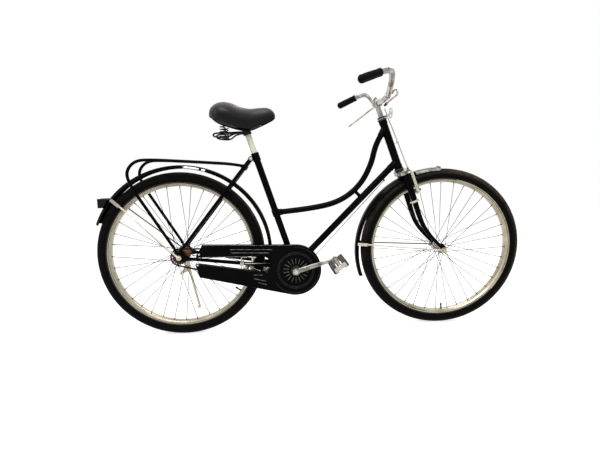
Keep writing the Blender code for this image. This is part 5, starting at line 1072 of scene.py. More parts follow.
# a U over the tyre with its pull rod, its arms and its blocks
def makeStirrup(end, yoke, inward, centre, blockAt, rodEnd, *more):
    depth, side, inset = (yoke - centre).dot(-inward) - blockAt, brake["side"], brake["blockSide"]
    low, along, pull = yoke + inward * (depth + brake["shoe"]), inward.cross(Y), (rodEnd - yoke).normalized()
    path = [low - Y * inset, low - Y * side, yoke - Y * side, yoke + Y * side, low + Y * side, low + Y * inset]
    metal = [sweep("arch", rounded(path, 0.012), brake["arch"], 20),
             rod("rod", yoke - pull * 0.003, rodEnd, brake["rod"]),
             rod("socket", yoke - pull * 0.0055, yoke + pull * 0.0085, 0.0052),
             lathe("nut", mm((2.4, 8.8), (5, 8.8), (5.2, 9.4), (5.2, 12.8), (2.4, 13.4)), yoke, pull, 6, 0, 20)]
    arms, pads, (long, wide, high) = [], [], brake["block"]
    reach = depth + brake["shoe"] - 0.016
    for hand in (-1, 1):
        arms.append(block("strip", yoke + inward * (0.008 + reach / 2) + Y * hand * side,
                          (reach, 0.005, brake["armWide"]), inward, ease=0.0012, parts=3))
        middle = yoke + inward * depth + Y * hand * inset
        pads.append(block("pad", middle - inward * 0.0012, (long, wide, high - 0.0024), along, ease=0.0012, parts=3))
        metal += [block("shoe", middle + inward * (high / 2 - 0.0022), (long * 0.94, wide + 0.0012, 0.0028), along,
                        ease=0.0006),
                  lathe("nut", mm((0, 0), (4.2, 0), (4.4, 0.5), (4.4, 3.6), (3.4, 4.4), (0, 4.4)),
                        low + Y * hand * inset + inward * 0.003, inward, 6, 0, 20)]
    name, body = end + "BrakeStirrup", end + "_brake"
    dress(joined(name, *metal, *more), body, "pale zinc", body + "_stirrup")
    dress(joined(name + "Arms", *arms), body, "stay cream")
    dress(joined(name + "Blocks", *pads), body, "brake compound")


def bellCrank(end, place):
    pin = lathe("pin", [*mm((0, -1.2), (3.6, -1.2), (4.6, -0.6), (4.6, 0)),
                        *mm((4.6, 0), (4, 1.6), (0, 1.8), long=brake["plate"])], place, Y, 20)
    made = joined(end + "BellCrank", copyOf(end + "_bell_crank", "plate", 0.0003), pin)
    dress(made, end + "_crank", "dark steel", end + "_bell_crank", slot="", turn=False)


clipAt, wing = steer(0.5126, 0.0312), (0.0034, 0.0022)
clip = [collar("hub", 0.0024, 0.0052, -0.0038, 0.0038, 0.0004, 0.0006, clipAt, steerUp, 20),
        block("wing", clipAt - steerAhead * 0.0085, (0.013, *wing), steerAhead, ease=0.0008),
        block("wing", clipAt + steerAhead * 0.0075 - steerUp * 0.0016, (0.01, *wing), steerAhead + steerUp * 0.35,
              ease=0.0008)]
makeStirrup("front", steer(0.3810, brake["rodForward"]), -steerUp, steer(0, brake["rodForward"]),
            blockRest(bike["forkRake"] - brake["rodForward"]), steer(head["rodTop"], brake["rodTopForward"]), *clip)
makeStirrup("rear", rearAxle + rearWay * (bike["wheelRadius"] + brake["rearYoke"]), -rearWay, rearAxle, blockRest(0),
            lowerCrank + lowerArm + Y * (brake["plate"] + brake["rod"] + 2 * bike["gap"]))
side = sqrt((head["cup"] + brake["rod"] + 2 * bike["gap"]) ** 2 - brake["upperAhead"] ** 2)
dress(rod("rearBrakeUpperRod", steer(0.4205, brake["upperAhead"], side),
          steer(head["rodTop"], brake["upperAhead"], side), brake["rod"]),
      "rear_upper_rod", "pale zinc", "rear_brake_upper_rod")
off = brake["plate"] + bike["gap"] + brake["lowerRod"]
dress(rod("rearBrakeLowerRod", at(0.556, 0.302, lowerCrank.y + off), at(0.896, 0.662, upperCrank.y + off),
          brake["lowerRod"]), "rear_lower_rod", "pale zinc", "rear_brake_lower_rod")
bellCrank("upper", upperCrank)
bellCrank("lower", lowerCrank)

# the guide bracket on the right chainstay, its hooks and its return wire, seen through the chain case's window
guide = {"side": -0.0515, "frame": ((0.2529, 0.335), (0.252, 0.286)), "width": 0.0135, "slot": (0.0045, 0.034),
         "thick": 0.0022, "wireSide": -0.0495,
         "hooks": (((0.256, 0.334), (0.2567, 0.3475), (0.264, 0.35), (0.279, 0.3482)),
                   ((0.303, 0.327), (0.3035, 0.345), (0.307, 0.3475), (0.318, 0.347))),
         "wire": ((0.2657, 0.3018), (0.2782, 0.2947), (0.2864, 0.285), (0.2952, 0.2963), (0.3039, 0.3004),
                  (0.3164, 0.2929), (0.333, 0.2868)),
         "bar": ((0.27, 0.32), (0.34, 0.3185)), "clamp": ((0.251, 0.3205, -0.04), (0.258, 0.3195, -0.0394))}


def makeGuide():
    side, thick = guide["side"], guide["thick"]
    high, low = [at(*point, side) for point in guide["frame"]]
    middle, along = (high + low) / 2 + X * 0.007, (high - low).normalized()
    long, gapWide, gapLong = (high - low).length, *guide["slot"]
    rail, bridge = (guide["width"] - gapWide) / 2, (long - gapLong) / 2
    pieces = [block("rail", middle + X * hand * (gapWide + rail) / 2, (long, thick, rail), along) for hand in (-1, 1)]
    pieces += [block("bridge", middle + along * hand * (long - bridge) / 2, (bridge, thick, guide["width"]), along)
               for hand in (-1, 1)]
    pieces += [sweep("hook", flowing([at(*point, side) for point in hook], 5), (0.0011, 0.0026), 12)
               for hook in guide["hooks"]]
    wire = [at(*point, guide["wireSide"]) for point in guide["wire"]]
    start, end = [at(*point) for point in guide["clamp"]]
    pieces += [sweep("wire", flowing(wire, 6), 0.0011, 10),
               lathe("bead", mm((0, -3), (2.2, -2.2), (3, 0), (2.2, 2.2), (0, 3)), wire[-1], X, 16),
               rodsOn("bar", [[at(*point, side + 0.003) for point in guide["bar"]]], 0.0018, 10, "pale zinc"),
               collar("clamp", 0.009, 0.0118, -0.0055, 0.0055, 0.0006, 0.0007, start.lerp(end, 0.5), end - start, 28),
               rod("screw", at(0.2585, 0.3225, -0.048), at(0.2585, 0.3225, side - 0.003), 0.003, 14)]
    dress(joined("brakeGuide", *pieces), "frame", "pale zinc")


makeGuide()
print("brakes are made")

# mudguards and their stays

guard = {"half": 0.026, "depth": 0.0145, "stayDepth": 0.0095, "wall": 0.001, "crown": 0.62, "rise": 0.0011,
         "stay": 0.0031, "panel": (72.0, 87.8), "clips": (72.4, 76.4, 88.0), "tab": (0.044, 0.0135), "eye": 0.0105,
         "roll": ((0.4, -1.2), (0.6, -0.2), (0.2, 0.7), (-0.8, 1), (-1.6, 0.4), (-1.7, -0.6)),
         "flank": ((26.2, 9.2), (27, 8.6), (26.4, 6.4), (24, 4), (22.8, 3.2), (22.2, 3.6), (24, 6)),
         "bead": ((26.2, 9), (22.5, 5.2), (16.5, 1.3), (8, 0.3), (0, 0))}
rearGuard = {"centre": rearAxle + Vector((0.008, 0, 0.005)), "radius": 0.380, "from": -5.0, "to": 158.6,
             "stay": 138.0, "eye": 0.0641, "axle": rearAxle, "body": "frame"}
frontGuard = {"centre": frontAxle + Vector((-0.012, 0, -0.008)), "radius": 0.371, "from": 91.0, "tip": 108.0,
              "to": 198.8, "stay": 176.3, "eye": 0.0548, "axle": frontAxle, "body": "steering"}


def guardSection():  # (side, depth) round the sheet: over the crown, a rolled edge, back under it
    half, depth, wall, rise = guard["half"], guard["depth"], guard["wall"], guard["rise"]
    crown = half * guard["crown"]
    outer = [(crown * share, rise * share ** 2) for share in (0.0, 0.25, 0.5, 0.75, 1.0)]
    outer += [(crown + (half - crown) * share ** 1.15, rise + (depth - rise) * share ** 1.25)
              for share in (0.12, 0.3, 0.55, 0.8)]
    inner = [(side - wall * 0.55 if side > crown else side, drop + wall) for side, drop in reversed(outer[:-1])]
    right = outer + mm(*guard["roll"], wide=half, long=depth) + inner
    return right[:-1] + [(-side, drop) for side, drop in reversed(right)][:-1]


def carried(name, section, place, start, end, steps, out=0.0):  # a (side, depth) section along a mudguard's circle
    turns = [start + (end - start) * k / steps for k in range(steps + 1)]
    return skin(name, [[polar(place["centre"], place["radius"] + out - drop, turn, side) for side, drop in section]
                       for turn in turns], angle=50)


def guardPiece(name, place, start, end, steps=None):
    return carried(name, guardSection(), place, start, end, steps or int(abs(end - start) * 0.9))


def deeper(drop):  # a depth measured on the shallow solid, carried to the visible sheet
    rise = guard["rise"]
    return drop if drop < rise else rise + (drop - rise) * (guard["depth"] - rise) / (guard["stayDepth"] - rise)


def flankPanel(place, start, end, hand, out=0.0005, steps=24, lift=0.0):  # a thin sheet over one flank
    section = [(hand * (side + out), deeper(drop)) for side, drop in mm(*guard["flank"])]
    return carried("panel", section, place, start, end, steps, lift)


def makeGuards():
    dress(guardPiece("rearMudguard", rearGuard, rearGuard["from"], rearGuard["to"]), "frame", "black enamel",
          "rear_mudguard")
    dress(joined("mudguardPanels", *[flankPanel(rearGuard, *guard["panel"], hand) for hand in (-1, 1)]), "frame",
          "bright strip")
    clips = [flankPanel(rearGuard, turn - 0.75, turn + 0.75, hand, 0.0016, 4, 0.0009)
             for hand in (-1, 1) for turn in guard["clips"]]
    dress(joined("mudguardClips", *clips), "frame", "black enamel")
    start, end = frontGuard["from"], frontGuard["tip"]
    front = guardPiece("frontMudguard", frontGuard, end, frontGuard["to"])
    dress(front, "steering", "black enamel", "front_mudguard")
    # the front end and the sheets over its flanks are drawn grey: a painted highlight on the black mudguard
    shine = [flankPanel(frontGuard, start + 0.4, end, hand) for hand in (-1, 1)]
    dress(joined("tipPanels", *shine), "steering", "panel grey")
    half = [(side, deeper(drop)) for side, drop in mm(*guard["bead"])]
    path = [polar(frontGuard["centre"], frontGuard["radius"] - drop + 0.0004, start, side) + Z * 0.0012
            for side, drop in [(-side, drop) for side, drop in half] + half[-2::-1]]
    tip = joined("frontMudguardTip", guardPiece("tip", frontGuard, start, end, 20), sweep("bead", path, 0.0034, 16))
    dress(tip, "steering", "grey tip")
    bolt = lathe("mudguardBolt", mm((0, 0), (5.2, 0), (5.4, 0.6), (5.4, 3), (3.6, 4.4), (0, 4.8)),
                 steer(bike["crownLow"] - 0.0052, 0.004), -steerUp, 16)  # holds the mudguard under the crown
    dress(bolt, "steering", "dark steel")


def edgeReach(place):  # from the axle to the edge of the mudguard's solid
    off = place["centre"] - place["axle"]
    along = polar(origin, 1, place["stay"]).dot(off)
    return along + sqrt(along ** 2 - off.length_squared + (place["radius"] - guard["stayDepth"]) ** 2)


def makeStay(name, side, end, place, material, tabMaterial):
    thick, reach, wide = 0.002, edgeReach(place), guard["eye"]
    eyeAt = place["axle"] + Y * side * (place["eye"] + thick / 2)
    edge = polar(place["axle"], reach, place["stay"], side * (guard["half"] + bike["gap"] + 0.0008))
    flat = (edge - polar(place["axle"], reach - 0.03, place["stay"], edge.y)).normalized()
    long, high = guard["tab"]
    pieces = [collar("eye", 0.0055, wide, -0.001, 0.001, 0.0006, 0.0005, eyeAt, Y, 32),
              block("tongue", eyeAt + flat * 0.015, (0.014, thick * 0.9, 0.009), flat, ease=0.0007),
              sweep("bar", flowing([eyeAt + flat * 0.016, eyeAt + flat * 0.023, edge - flat * 0.07,
                                    edge - flat * (long - 0.002)], 6),
                    lambda share: guard["stay"] + 0.0019 * max(0.0, (share - 0.9) / 0.1), 16)]
    tab = [block("tab", edge - flat * (long / 2 - 0.001), (long, 0.0018, high), flat, ease=0.0008)]
    tab += [lathe("rivet", mm((0, 0), (3.1, 0), (2.9, 1), (1.8, 1.9), (0, 2.2)), edge - flat * back + Y * side * 0.0008,
                  Y * side, 16) for back in (0.0065, 0.02)]
    made = name + end.title() + "MudguardStay"
    dress(joined(made, *pieces), place["body"], material, f"{name}_{end}_mudguard_stay", "aluminium")
    dress(joined(made + "Tab", *tab), place["body"], tabMaterial, slot="aluminium")


makeGuards()
for name, side in hands:
    near = side < 0
    makeStay(name, side, "front", frontGuard, *["stay cream" if near else "stay green"] * 2)
    makeStay(name, side, "rear", rearGuard, *(["stay cream", "panel grey"] if near else ["stay green"] * 2))

# rear carrier and tail lamp

carrier = {"radius": 0.0063, "side": 0.0635, "bars": 5, "barRadius": 0.0035, "strip": (0.03, 0.004),
           "claspDrop": 0.0357, "front": (0.16, 0.747), "rear": (-0.115, 0.765), "foot": (0.0565, 0.0605),
           "path": ((0.222, 0.743), (0.1, 0.7515), (-0.07, 0.762), (-0.15, 0.762), (-0.19, 0.715), (-0.172, 0.656),
                    (-0.019, 0.402))}


def stayTop(side):  # the seat stay's bolt and the bow under it
    eye = seat(binder, 0.0225, side * 0.0205)
    foot = at(0.0105, bike["wheelRadius"] + 0.0335, side * 0.0585)
    bow = eye.lerp(foot + (eye - foot).normalized() * 2 * bike["gap"], 0.20)
    bow.y = side * 0.0365
    return eye, bow


def makeCarrierSide(name, side):
    eye, bow = stayTop(side)
    clasp = eye.lerp(bow, carrier["claspDrop"] / (eye.z - bow.z))
    points = [clasp + Vector((-0.004, side * 0.004, 0.006))]
    points += [at(*point, side * carrier["side"]) for point in carrier["path"]]
    inner, outer = carrier["foot"]
    thick = rearGuard["eye"] - inner - 0.004 - 2 * bike["gap"]
    middle = rearAxle + Y * side * (outer + bike["gap"] + thick / 2)
    reach = at(*carrier["path"][-1]) - rearAxle
    pieces = [sweep("tube", rounded(points, 0.045, 10), carrier["radius"]),
              collar("clasp", 0.0087, 0.0119, -0.009, 0.009, 0.001, 0.001, clasp, bow - eye, 32),
              block("tongue", middle + reach * 0.5 + reach.normalized() * 0.006, (reach.length + 0.004, thick, 0.011),
                    reach, ease=0.0009),
              collar("eye", 0.0055, 0.0105, -thick * 0.48, thick * 0.48, 0.0007, thick * 0.18, middle, Y, 32),
              lathe("screw", mm((0, 0), (4.2, 0), (4.4, 0.5), (4.4, 3), (3.4, 3.8), (0, 3.8)),
                    clasp + Y * side * 0.0112, Y * side, 6, 0, 20)]
    dress(joined(name + "CarrierSide", *pieces), "frame", "black enamel", name + "_carrier_side")


def makeDeck():
    front, rear, (wide, thick) = at(*carrier["front"]), at(*carrier["rear"]), carrier["strip"]
    strip = block("strip", (front + rear) / 2, ((rear - front).length + 0.02, wide, thick), (rear - front).normalized(),
                  ease=0.0009, parts=3)
    reach = carrier["side"] - carrier["radius"] - bike["gap"]
    places = [front.lerp(rear, k / (carrier["bars"] - 1)) for k in range(carrier["bars"])]
    bars = rodsOn("bars", [[place - Y * reach, place + Y * reach] for place in places], carrier["barRadius"], 16,
                  "black enamel")
    rise = Z * (thick / 2 - 0.0001)
    rivets = [lathe("rivet", mm((0, 0), (2.8, 0), (2.6, 0.8), (0, 1.5)), place + Y * side + rise, Z, 12)
              for place in places for side in (-0.009, 0.009)]
    dress(joined("carrierDeck", strip, bars, *rivets), "frame", "black enamel", "carrier_deck")


def makeTailLamp():
    lamp = copyOf("tail_lamp", "body", 0.0014, 30)
    for point in lamp.data.vertices:  # the photographed lamp is a little shorter than its solid
        point.co.x += max(0.0, at(-0.3, 0).x - point.co.x) * 0.3
    lens = lathe("lens", mm((0, 0), (15.2, 0), (15.6, 0.7), (15, 2.6), (11, 4.8), (5.5, 6), (0, 6.4)),
                 at(-0.3288, 0.5862), -X, 40)
    bezel = lathe("bezel", mm((15.4, -0.6), (17.2, -0.6), (17.6, 0.4), (17.4, 2.6), (16, 3.2), (15.2, 1.4)),
                  at(-0.3286, 0.5862), -X, 40)
    dress(joined("tailLamp", lamp, bezel), "frame", "lamp plastic", "tail_lamp", turn=False)
    dress(lens, "frame", "red lens")


for name, side in hands:
    makeCarrierSide(name, side)
makeDeck()
makeTailLamp()
print("mudguards, carrier and lamp are made")

# saddle, its springs and its post

saddle = {"lip": 0.007, "spring": 0.0115, "wire": 0.0022, "curls": 4.0, "ahead": 0.198, "side": 0.044, "low": 0.8560,
          "high": 0.8995, "loop": 0.0035, "post": 0.0127, "keep": 0.745, "arc": 40, "clamp": (0.6165, 0.0075),
          "stations": ((0.142, 0.03, 0.956, 0.937), (0.152, 0.064, 0.9745, 0.927), (0.175, 0.093, 0.9895, 0.915),
                       (0.205, 0.103, 0.995, 0.906), (0.24, 0.095, 0.9885, 0.895), (0.275, 0.072, 0.9755, 0.8865),
                       (0.31, 0.048, 0.97, 0.886), (0.345, 0.036, 0.9735, 0.8985), (0.38, 0.031, 0.974, 0.914),
                       (0.402, 0.024, 0.964, 0.925), (0.412, 0.011, 0.947, 0.933))}  # ahead, half width, top, lip


def makeSaddle():
    arc, rings = saddle["arc"], []
    stations = flowing([Vector(station) for station in saddle["stations"]], 6)
    for ahead, half, top, lip in stations:
        ceiling = max(lip + 0.005, saddle["high"] + bike["gap"] + (ahead - saddle["ahead"]) * 0.045)
        ring = []
        for k in range(arc + 1):
            turn = pi * k / arc
            rise = sin(turn) ** 0.78 if 0 < k < arc else 0.0
            out = abs(cos(turn)) ** 0.8 * (1 - 0.13 * (1 - rise) ** 2) * (1 if cos(turn) > 0 else -1)
            ring.append(at(ahead, lip + (top - lip) * rise, half * out))
        edge = half * 0.87
        inner = max(edge * 0.35, edge - saddle["lip"])
        under = [(lip - 0.0006, edge - 0.0012), (lip - 0.0004, inner), (ceiling, inner * 0.96), (ceiling, inner * 0.5)]
        ring += [at(ahead, up, -side) for up, side in under] + [at(ahead, ceiling)]
        ring += [at(ahead, up, side) for up, side in reversed(under)]
        rings.append(ring)
    cover, count = skin("saddleCover", rings, angle=50), len(rings[0])
    # upper is 1 along the top and 0 at the lip; the vinyl uses it for a painted sheen along the top and painted shade
    # towards the lip
    upper = [sin(pi * (k % count) / arc) if k % count <= arc else 0.0 for k in range(len(cover.data.vertices))]
    cover.data.attributes.new("upper", "FLOAT", "POINT").data.foreach_set("value", upper)
    dress(cover, "saddle", vinyl, "saddle_cover", "saddle_vinyl")
    cover.data.materials.append(finish("saddle shell"))
    for face in cover.data.polygons:  # the shell's lip and its hollow underside
        face.material_index = max(k % count for k in face.vertices) > arc


def makeSprings():
    for name, side in hands:
        spring = grown(meshOf(name + "Spring", []), coilMaker, "spring steel", turns=saddle["curls"],
                       coilRadius=saddle["spring"], height=saddle["high"] - saddle["low"] - 2 * saddle["wire"],
                       wire=saddle["wire"],
                       place=at(saddle["ahead"], saddle["low"] + saddle["wire"], side * saddle["side"]))
        dress(spring, "seat_pillar", "spring steel", name + "_saddle_spring")
        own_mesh(spring)


def makeSaddleFrame():  # the clamp on the post, the wire loops under the springs and the nose piece
    clampAt, bore = seat(*saddle["clamp"]), saddle["post"] + bike["gap"]
    half = mm((11.2, 18.2), (12.5, 19), (12.5, 26.2), (11.8, 27), (0, 27))
    pieces = [lathe("clamp", bothWays(half), clampAt, Y, 36)]
    pieces += [lathe("nut", mm((0, 26.8), (6.4, 26.8), (6.6, 27.4), (6.6, 30.6), (5.4, 31.6), (0, 31.6)), clampAt,
                     Y * hand, 6, 0, 20) for hand in (-1, 1)]
    pieces.append(collar("collar", bore, 0.0169, 0.606, 0.624, 0.0007, 0.0007, seat(0), seatUp, 36))
    ahead, under, high = clampAt.x + bike["wheelBase"] / 2, saddle["low"] - bike["gap"] - 0.0018, clampAt.z
    pivot, wires = at(0.350, 0.9040), saddle["loop"]
    for side in (-1, 1):
        loop = [(ahead - 0.004, high + 0.002, 0.018), (0.245, 0.866, 0.032), (0.215, under - wires, 0.053),
                (0.18, under - wires, 0.053), (0.161, 0.856, 0.047), (0.163, 0.866, 0.036), (0.19, 0.87, 0.0275),
                (0.235, 0.872, 0.02), (ahead - 0.004, high + 0.004, 0.012)]
        nose = [at(ahead + 0.004, high + 0.006, side * 0.012), at(0.318, 0.892, side * 0.01), pivot + Y * side * 0.006]
        pieces += [sweep("loop", flowing([at(x, z, side * y) for x, z, y in loop]), wires, 14),
                   lathe("spring seat", mm((0, -3), (13.6, -3), (14.5, -2.2), (14.5, 1), (13.8, 1.8), (0, 1.8)),
                         at(saddle["ahead"], under, side * saddle["side"]), Z, 32),
                   sweep("nose", flowing(nose), 0.003, 14)]
    pieces.append(rod("nose pin", pivot - Y * 0.01, pivot + Y * 0.01, 0.0033, 16))
    dress(joined("saddleFrame", *pieces), "seat_pillar", "spring steel", "saddle_frame")
    post = rod("seatPost", seat(0.4), seat(0.616), saddle["post"], 40, 0.0012)
    dress(post, "seat_pillar", "post chrome", "seat_post")


makeSaddle()
makeSprings()
makeSaddleFrame()
print("saddle is made")

# kickstand

dress(copyOf("kickstand_bracket", "kickstandBracket", 0.0006), "frame", "stand cast", "kickstand_bracket")
dress(copyOf("kickstand_leg", "kickstandLeg", 0.0006, 45), "stand", "stand cast", "kickstand_leg")
print("stand is made")

# chain case

case = {"radius": 0.110, "inner": 0.0408, "outer": 0.0662, "wall": 0.0012, "round": 0.0042, "rib": 0.0013,
        "ringRib": 0.0012, "bore": 0.0175, "backBore": 0.0214, "sink": 0.0001, "turnEnd": 452.0,
        "rear": ((0.095, 0.4085), (0.069, 0.364), (0.069, 0.3555)), "slot": ((0.34, 0.353), (0.345, 0.283)),
        "tail": ((0.08, 0.327), (0.064, 0.325), (0.08, 0.27)),
        "ribs": (((0.212, 0.387), (0.388, 0.3815)), ((0.212, 0.373), (0.374, 0.368))),
        "lowerRibs": (((0.314, 0.3235), (0.357, 0.323)), ((0.3635, 0.306), (0.3635, 0.283)),
                      ((0.308, 0.2735), (0.345, 0.2722)), ((0.307, 0.258), (0.358, 0.2455)),
                      ((0.325, 0.24), (0.362, 0.229))),
        "lip": ((0.121, 0.361), (0.1235, 0.3575), (0.13, 0.356), (0.19, 0.3558), (0.256, 0.3558)),
        "ridge": ((0.1, 0.408), (0.2, 0.4052), (0.3, 0.4022), (0.4, 0.399), (0.47, 0.397)),
        "spokes": (18, 0.03, 0.054), "rings": (0.072, 0.0785), "edgeRing": (0.1005, -150, 92),
        "screws": ((0.0833, 0.3692), (0.0753, 0.3239))}


def caseOutline(inset, rear):
    centre = Vector((bike["crankAhead"], bike["crankHeight"]))
    high, low = Vector(case["slot"][0]), Vector(case["slot"][1])
    gap = centre - Vector(case["tail"][2])
    start = degrees(atan2(gap.y, gap.x)) + degrees(acos(case["radius"] / gap.length)) + 180

    def drawn(points, shifts):
        return [Vector(point) + Vector((-rear, shift)) for point, shift in zip(points, shifts)]

    def arc(middle, radius, first, last, steps):
        turns = [radians(first + (last - first) * k / steps) for k in range(steps + 1)]
        return [middle + Vector((cos(turn), sin(turn))) * radius for turn in turns]

    points = (drawn(case["rear"], (-inset, 0.0 if rear else -inset, inset))
              + arc((high + low) / 2, (high - low).length / 2 + inset, 90, -90, 16)
              + drawn(case["tail"], (-inset, -inset, inset + rear * 0.2))
              + arc(centre, case["radius"] - inset, start, case["turnEnd"], 60))
    return [(point.x - bike["wheelBase"] / 2, point.y) for point in points]


def caseLine(points, lift=0.0):  # (ahead, up) points on the outer face
    return [at(*point, case["sink"] + lift - case["outer"]) for point in points]


def makeCase():
    outer, inner, wall, rib = case["outer"], case["inner"], case["wall"], case["rib"]
    body = easeEdges(plate("case", caseOutline(0, 0), -outer, -inner), case["round"], 5, 60, 0.5, True)
    hollow = plate("hollow", caseOutline(wall, 0.05), wall - outer, -inner - wall)
    easeEdges(hollow, case["round"] - wall, 4, 60, 0.5, True)
    cutFrom(body, hollow, rod("front hole", crankCentre - Y * 0.08, crankCentre - Y * 0.055, case["bore"], 48, 0),
            rod("back hole", crankCentre - Y * 0.055, crankCentre - Y * 0.03, case["backBore"], 48, 0))
    soften(body.data, 32)
    dress(body, "frame", "black enamel", "chaincase")
    count, start, end = case["spokes"]
    side = case["sink"] - outer
    spokes = [[polar(crankCentre, radius, 360.0 * (k + 0.5) / count, side) for radius in (start, end)]
              for k in range(count)]
    # the ribs, the lip and the top ridge are drawn light grey: painted highlights on the black case
    bright = [rodsOn("ribs", [caseLine(line) for line in case["ribs"]], rib, 12, "worn rib"),
              sweep("lip", flowing(caseLine(case["lip"]), 5), rib * 1.1, 12),
              sweep("ridge", flowing(caseLine(case["ridge"], case["round"] * 0.35), 6), 0.0009, 10),
              rodsOn("lowerRibs", [caseLine(line) for line in case["lowerRibs"]], rib, 12, "worn rib"),
              rodsOn("radialRibs", spokes, rib * 0.9, 10, "worn rib")]
    # the rings round the crank and the collar are drawn dim grey: faint painted highlights
    dull = [sweep("ring", [polar(crankCentre, radius, 3.75 * k, side) for k in range(96)], case["ringRib"], 10, True)
            for radius in case["rings"]]
    radius, first, last = case["edgeRing"]
    dull += [sweep("ring", [polar(crankCentre, radius, first + (last - first) * k / 96, side) for k in range(97)],
                   case["ringRib"], 10),
             lathe("collar", mm((17.6, -0.4), (21.5, -0.4), (22.2, 0.4), (21.6, 1.4), (19, 1.6), (17.6, 1)),
                   crankCentre + Y * side, -Y, 48)]
    dress(joined("caseRibs", *bright), "frame", "worn rib")
    dress(joined("caseRings", *dull), "frame", "dull rib")
    screws = [lathe("screw", mm((0, 0), (4, 0), (4, 0.8), (3.2, 1.8), (1.8, 2.3), (0, 2.4)), place, -Y, 24)
              for place in caseLine(case["screws"])]
    dress(joined("caseScrews", *screws), "frame", "pale zinc")


makeCase()

# chain, toothed wheels, cranks and pedals

drive = {"pitch": 0.0127, "big": 44, "small": 18, "side": 0.048, "height": 0.008, "tooth": 0.003, "thick": 0.0028,
         "crank": 0.172, "angle": 17.0, "spindle": 0.008, "spindleHalf": 0.095, "crankSide": 0.0835,
         "pedalAngle": 35.0, "pedalLength": 0.098, "block": (0.022, 0.03), "spread": 0.047, "pedalSide": 0.1035,
         "pin": 0.006, "bore": 0.014, "link": (0.004, 0.0009, 0.0022),
         "toothShape": ((0.0, 0.0), (0.12, 0.08), (0.24, 0.55), (0.34, 0.93), (0.42, 1.0), (0.58, 1.0), (0.66, 0.93),
                        (0.76, 0.55), (0.88, 0.08)),
         "blockShape": ((-0.5, -0.36), (-0.36, -0.5), (0.36, -0.5), (0.5, -0.36), (0.5, -0.08), (0.44, 0.0),
                        (0.5, 0.08), (0.5, 0.36), (0.36, 0.5), (-0.36, 0.5), (-0.5, 0.36), (-0.5, 0.08), (-0.44, 0.0),
                        (-0.5, -0.08))}


def pitchRadius(teeth):
    return drive["pitch"] / (2 * sin(pi / teeth))


def toothedDisc(name, centre, teeth, bore):
    tip, half = pitchRadius(teeth) - drive["height"] / 2 - bike["gap"], drive["thick"] / 2
    outer = [(tip - drive["tooth"] * (1 - rise), tau * (k + part) / teeth)
             for k in range(teeth) for part, rise in drive["toothShape"]]
    bm, loops, ease = bmesh.new(), [], 0.0006
    for inward, place in ((None, -half), (ease, -half), (0, ease - half), (0, half - ease), (ease, half), (None, half)):
        loops.append([])
        for radius, turn in outer:
            radius = bore if inward is None else radius - inward
            loops[-1].append(bm.verts.new(centre + Vector((radius * cos(turn), place, radius * sin(turn)))))
    for one, two in zip(loops, loops[1:] + loops[:1]):
        for k in range(len(outer)):
            on = (k + 1) % len(outer)
            bm.faces.new((one[k], one[on], two[on], two[k]))
    return fromBmesh(name, bm, 30)


def chainLink(narrow):
    step, (half, thick, off) = drive["pitch"], drive["link"]
    half, off = half - 0.0002 * narrow, off - 0.001 * narrow
    outline = []
    for end in (-1, 1):
        outline += [(end * step / 2 + half * cos(radians(30 * k - end * 90)), half * sin(radians(30 * k - end * 90)))
                    for k in range(7)]
        outline.append((0, -end * half * 0.84))
    pieces = []
    for hand in (-1, 1):
        low = hand * off - thick / 2
        rings = [[Vector((side, up, ahead)) for ahead, up in outline] for side in (low, low + thick)]
        pieces.append(skin("sheet", rings))
    half = mm((3.3, 1.6), (1.7, 1.8), (1.7, 2.9), (1.5, 3.1), (0, 3.1))
    for end in (-1, 1)[:2 * narrow]:
        pieces.append(lathe("roller", bothWays(half), Z * end * step / 2, X, 12))
    return joined("link", *pieces)


def makeChain():
    big, small = pitchRadius(drive["big"]), pitchRadius(drive["small"])
    one, two = rearAxle - Y * drive["side"], crankCentre - Y * drive["side"]
    gap = two - one
    tilt, spread = degrees(atan2(gap.z, gap.x)), degrees(acos((small - big) / gap.length))
    path = [polar(one, small, tilt + spread + (360 - 2 * spread) * k / 60) for k in range(61)]
    path += [polar(two, big, tilt - spread + 2 * spread * k / 120) for k in range(121)]
    path.append(path[0])
    links = round(lengths(path)[-1] / drive["pitch"] / 2) * 2
    pins = [point for point, _ in evenly(path, links)][:-1]
    pins.append(pins[0])
    pieces = []
    for narrow in (0, 1):  # wide and narrow links take turns
        places = [((start + end) / 2, (end - start).normalized(), Y)
                  for start, end in list(zip(pins, pins[1:]))[narrow::2]]
        pieces.append(copiesOn("links", places, chainLink(narrow), "chain steel"))
    dress(joined("chain", *pieces), "frame", "chain steel", "chain")
    bore = drive["bore"]
    body = bothWays([*mm((22.5, 3.5), (21.8, 5.2), (20.5, 6)), (bore, 0.006)])
    ring = [(bore, -0.0066), *mm((18, -6.6), (18.6, -6)), (bore, -0.0058)]
    made = joined("rearSprocket", toothedDisc("disc", one, drive["small"], 0.0205), lathe("body", body, one, Y, 40),
                  lathe("ring", ring, one, Y, 40))
    dress(made, "freewheel", "rusty steel", "rear_sprocket")


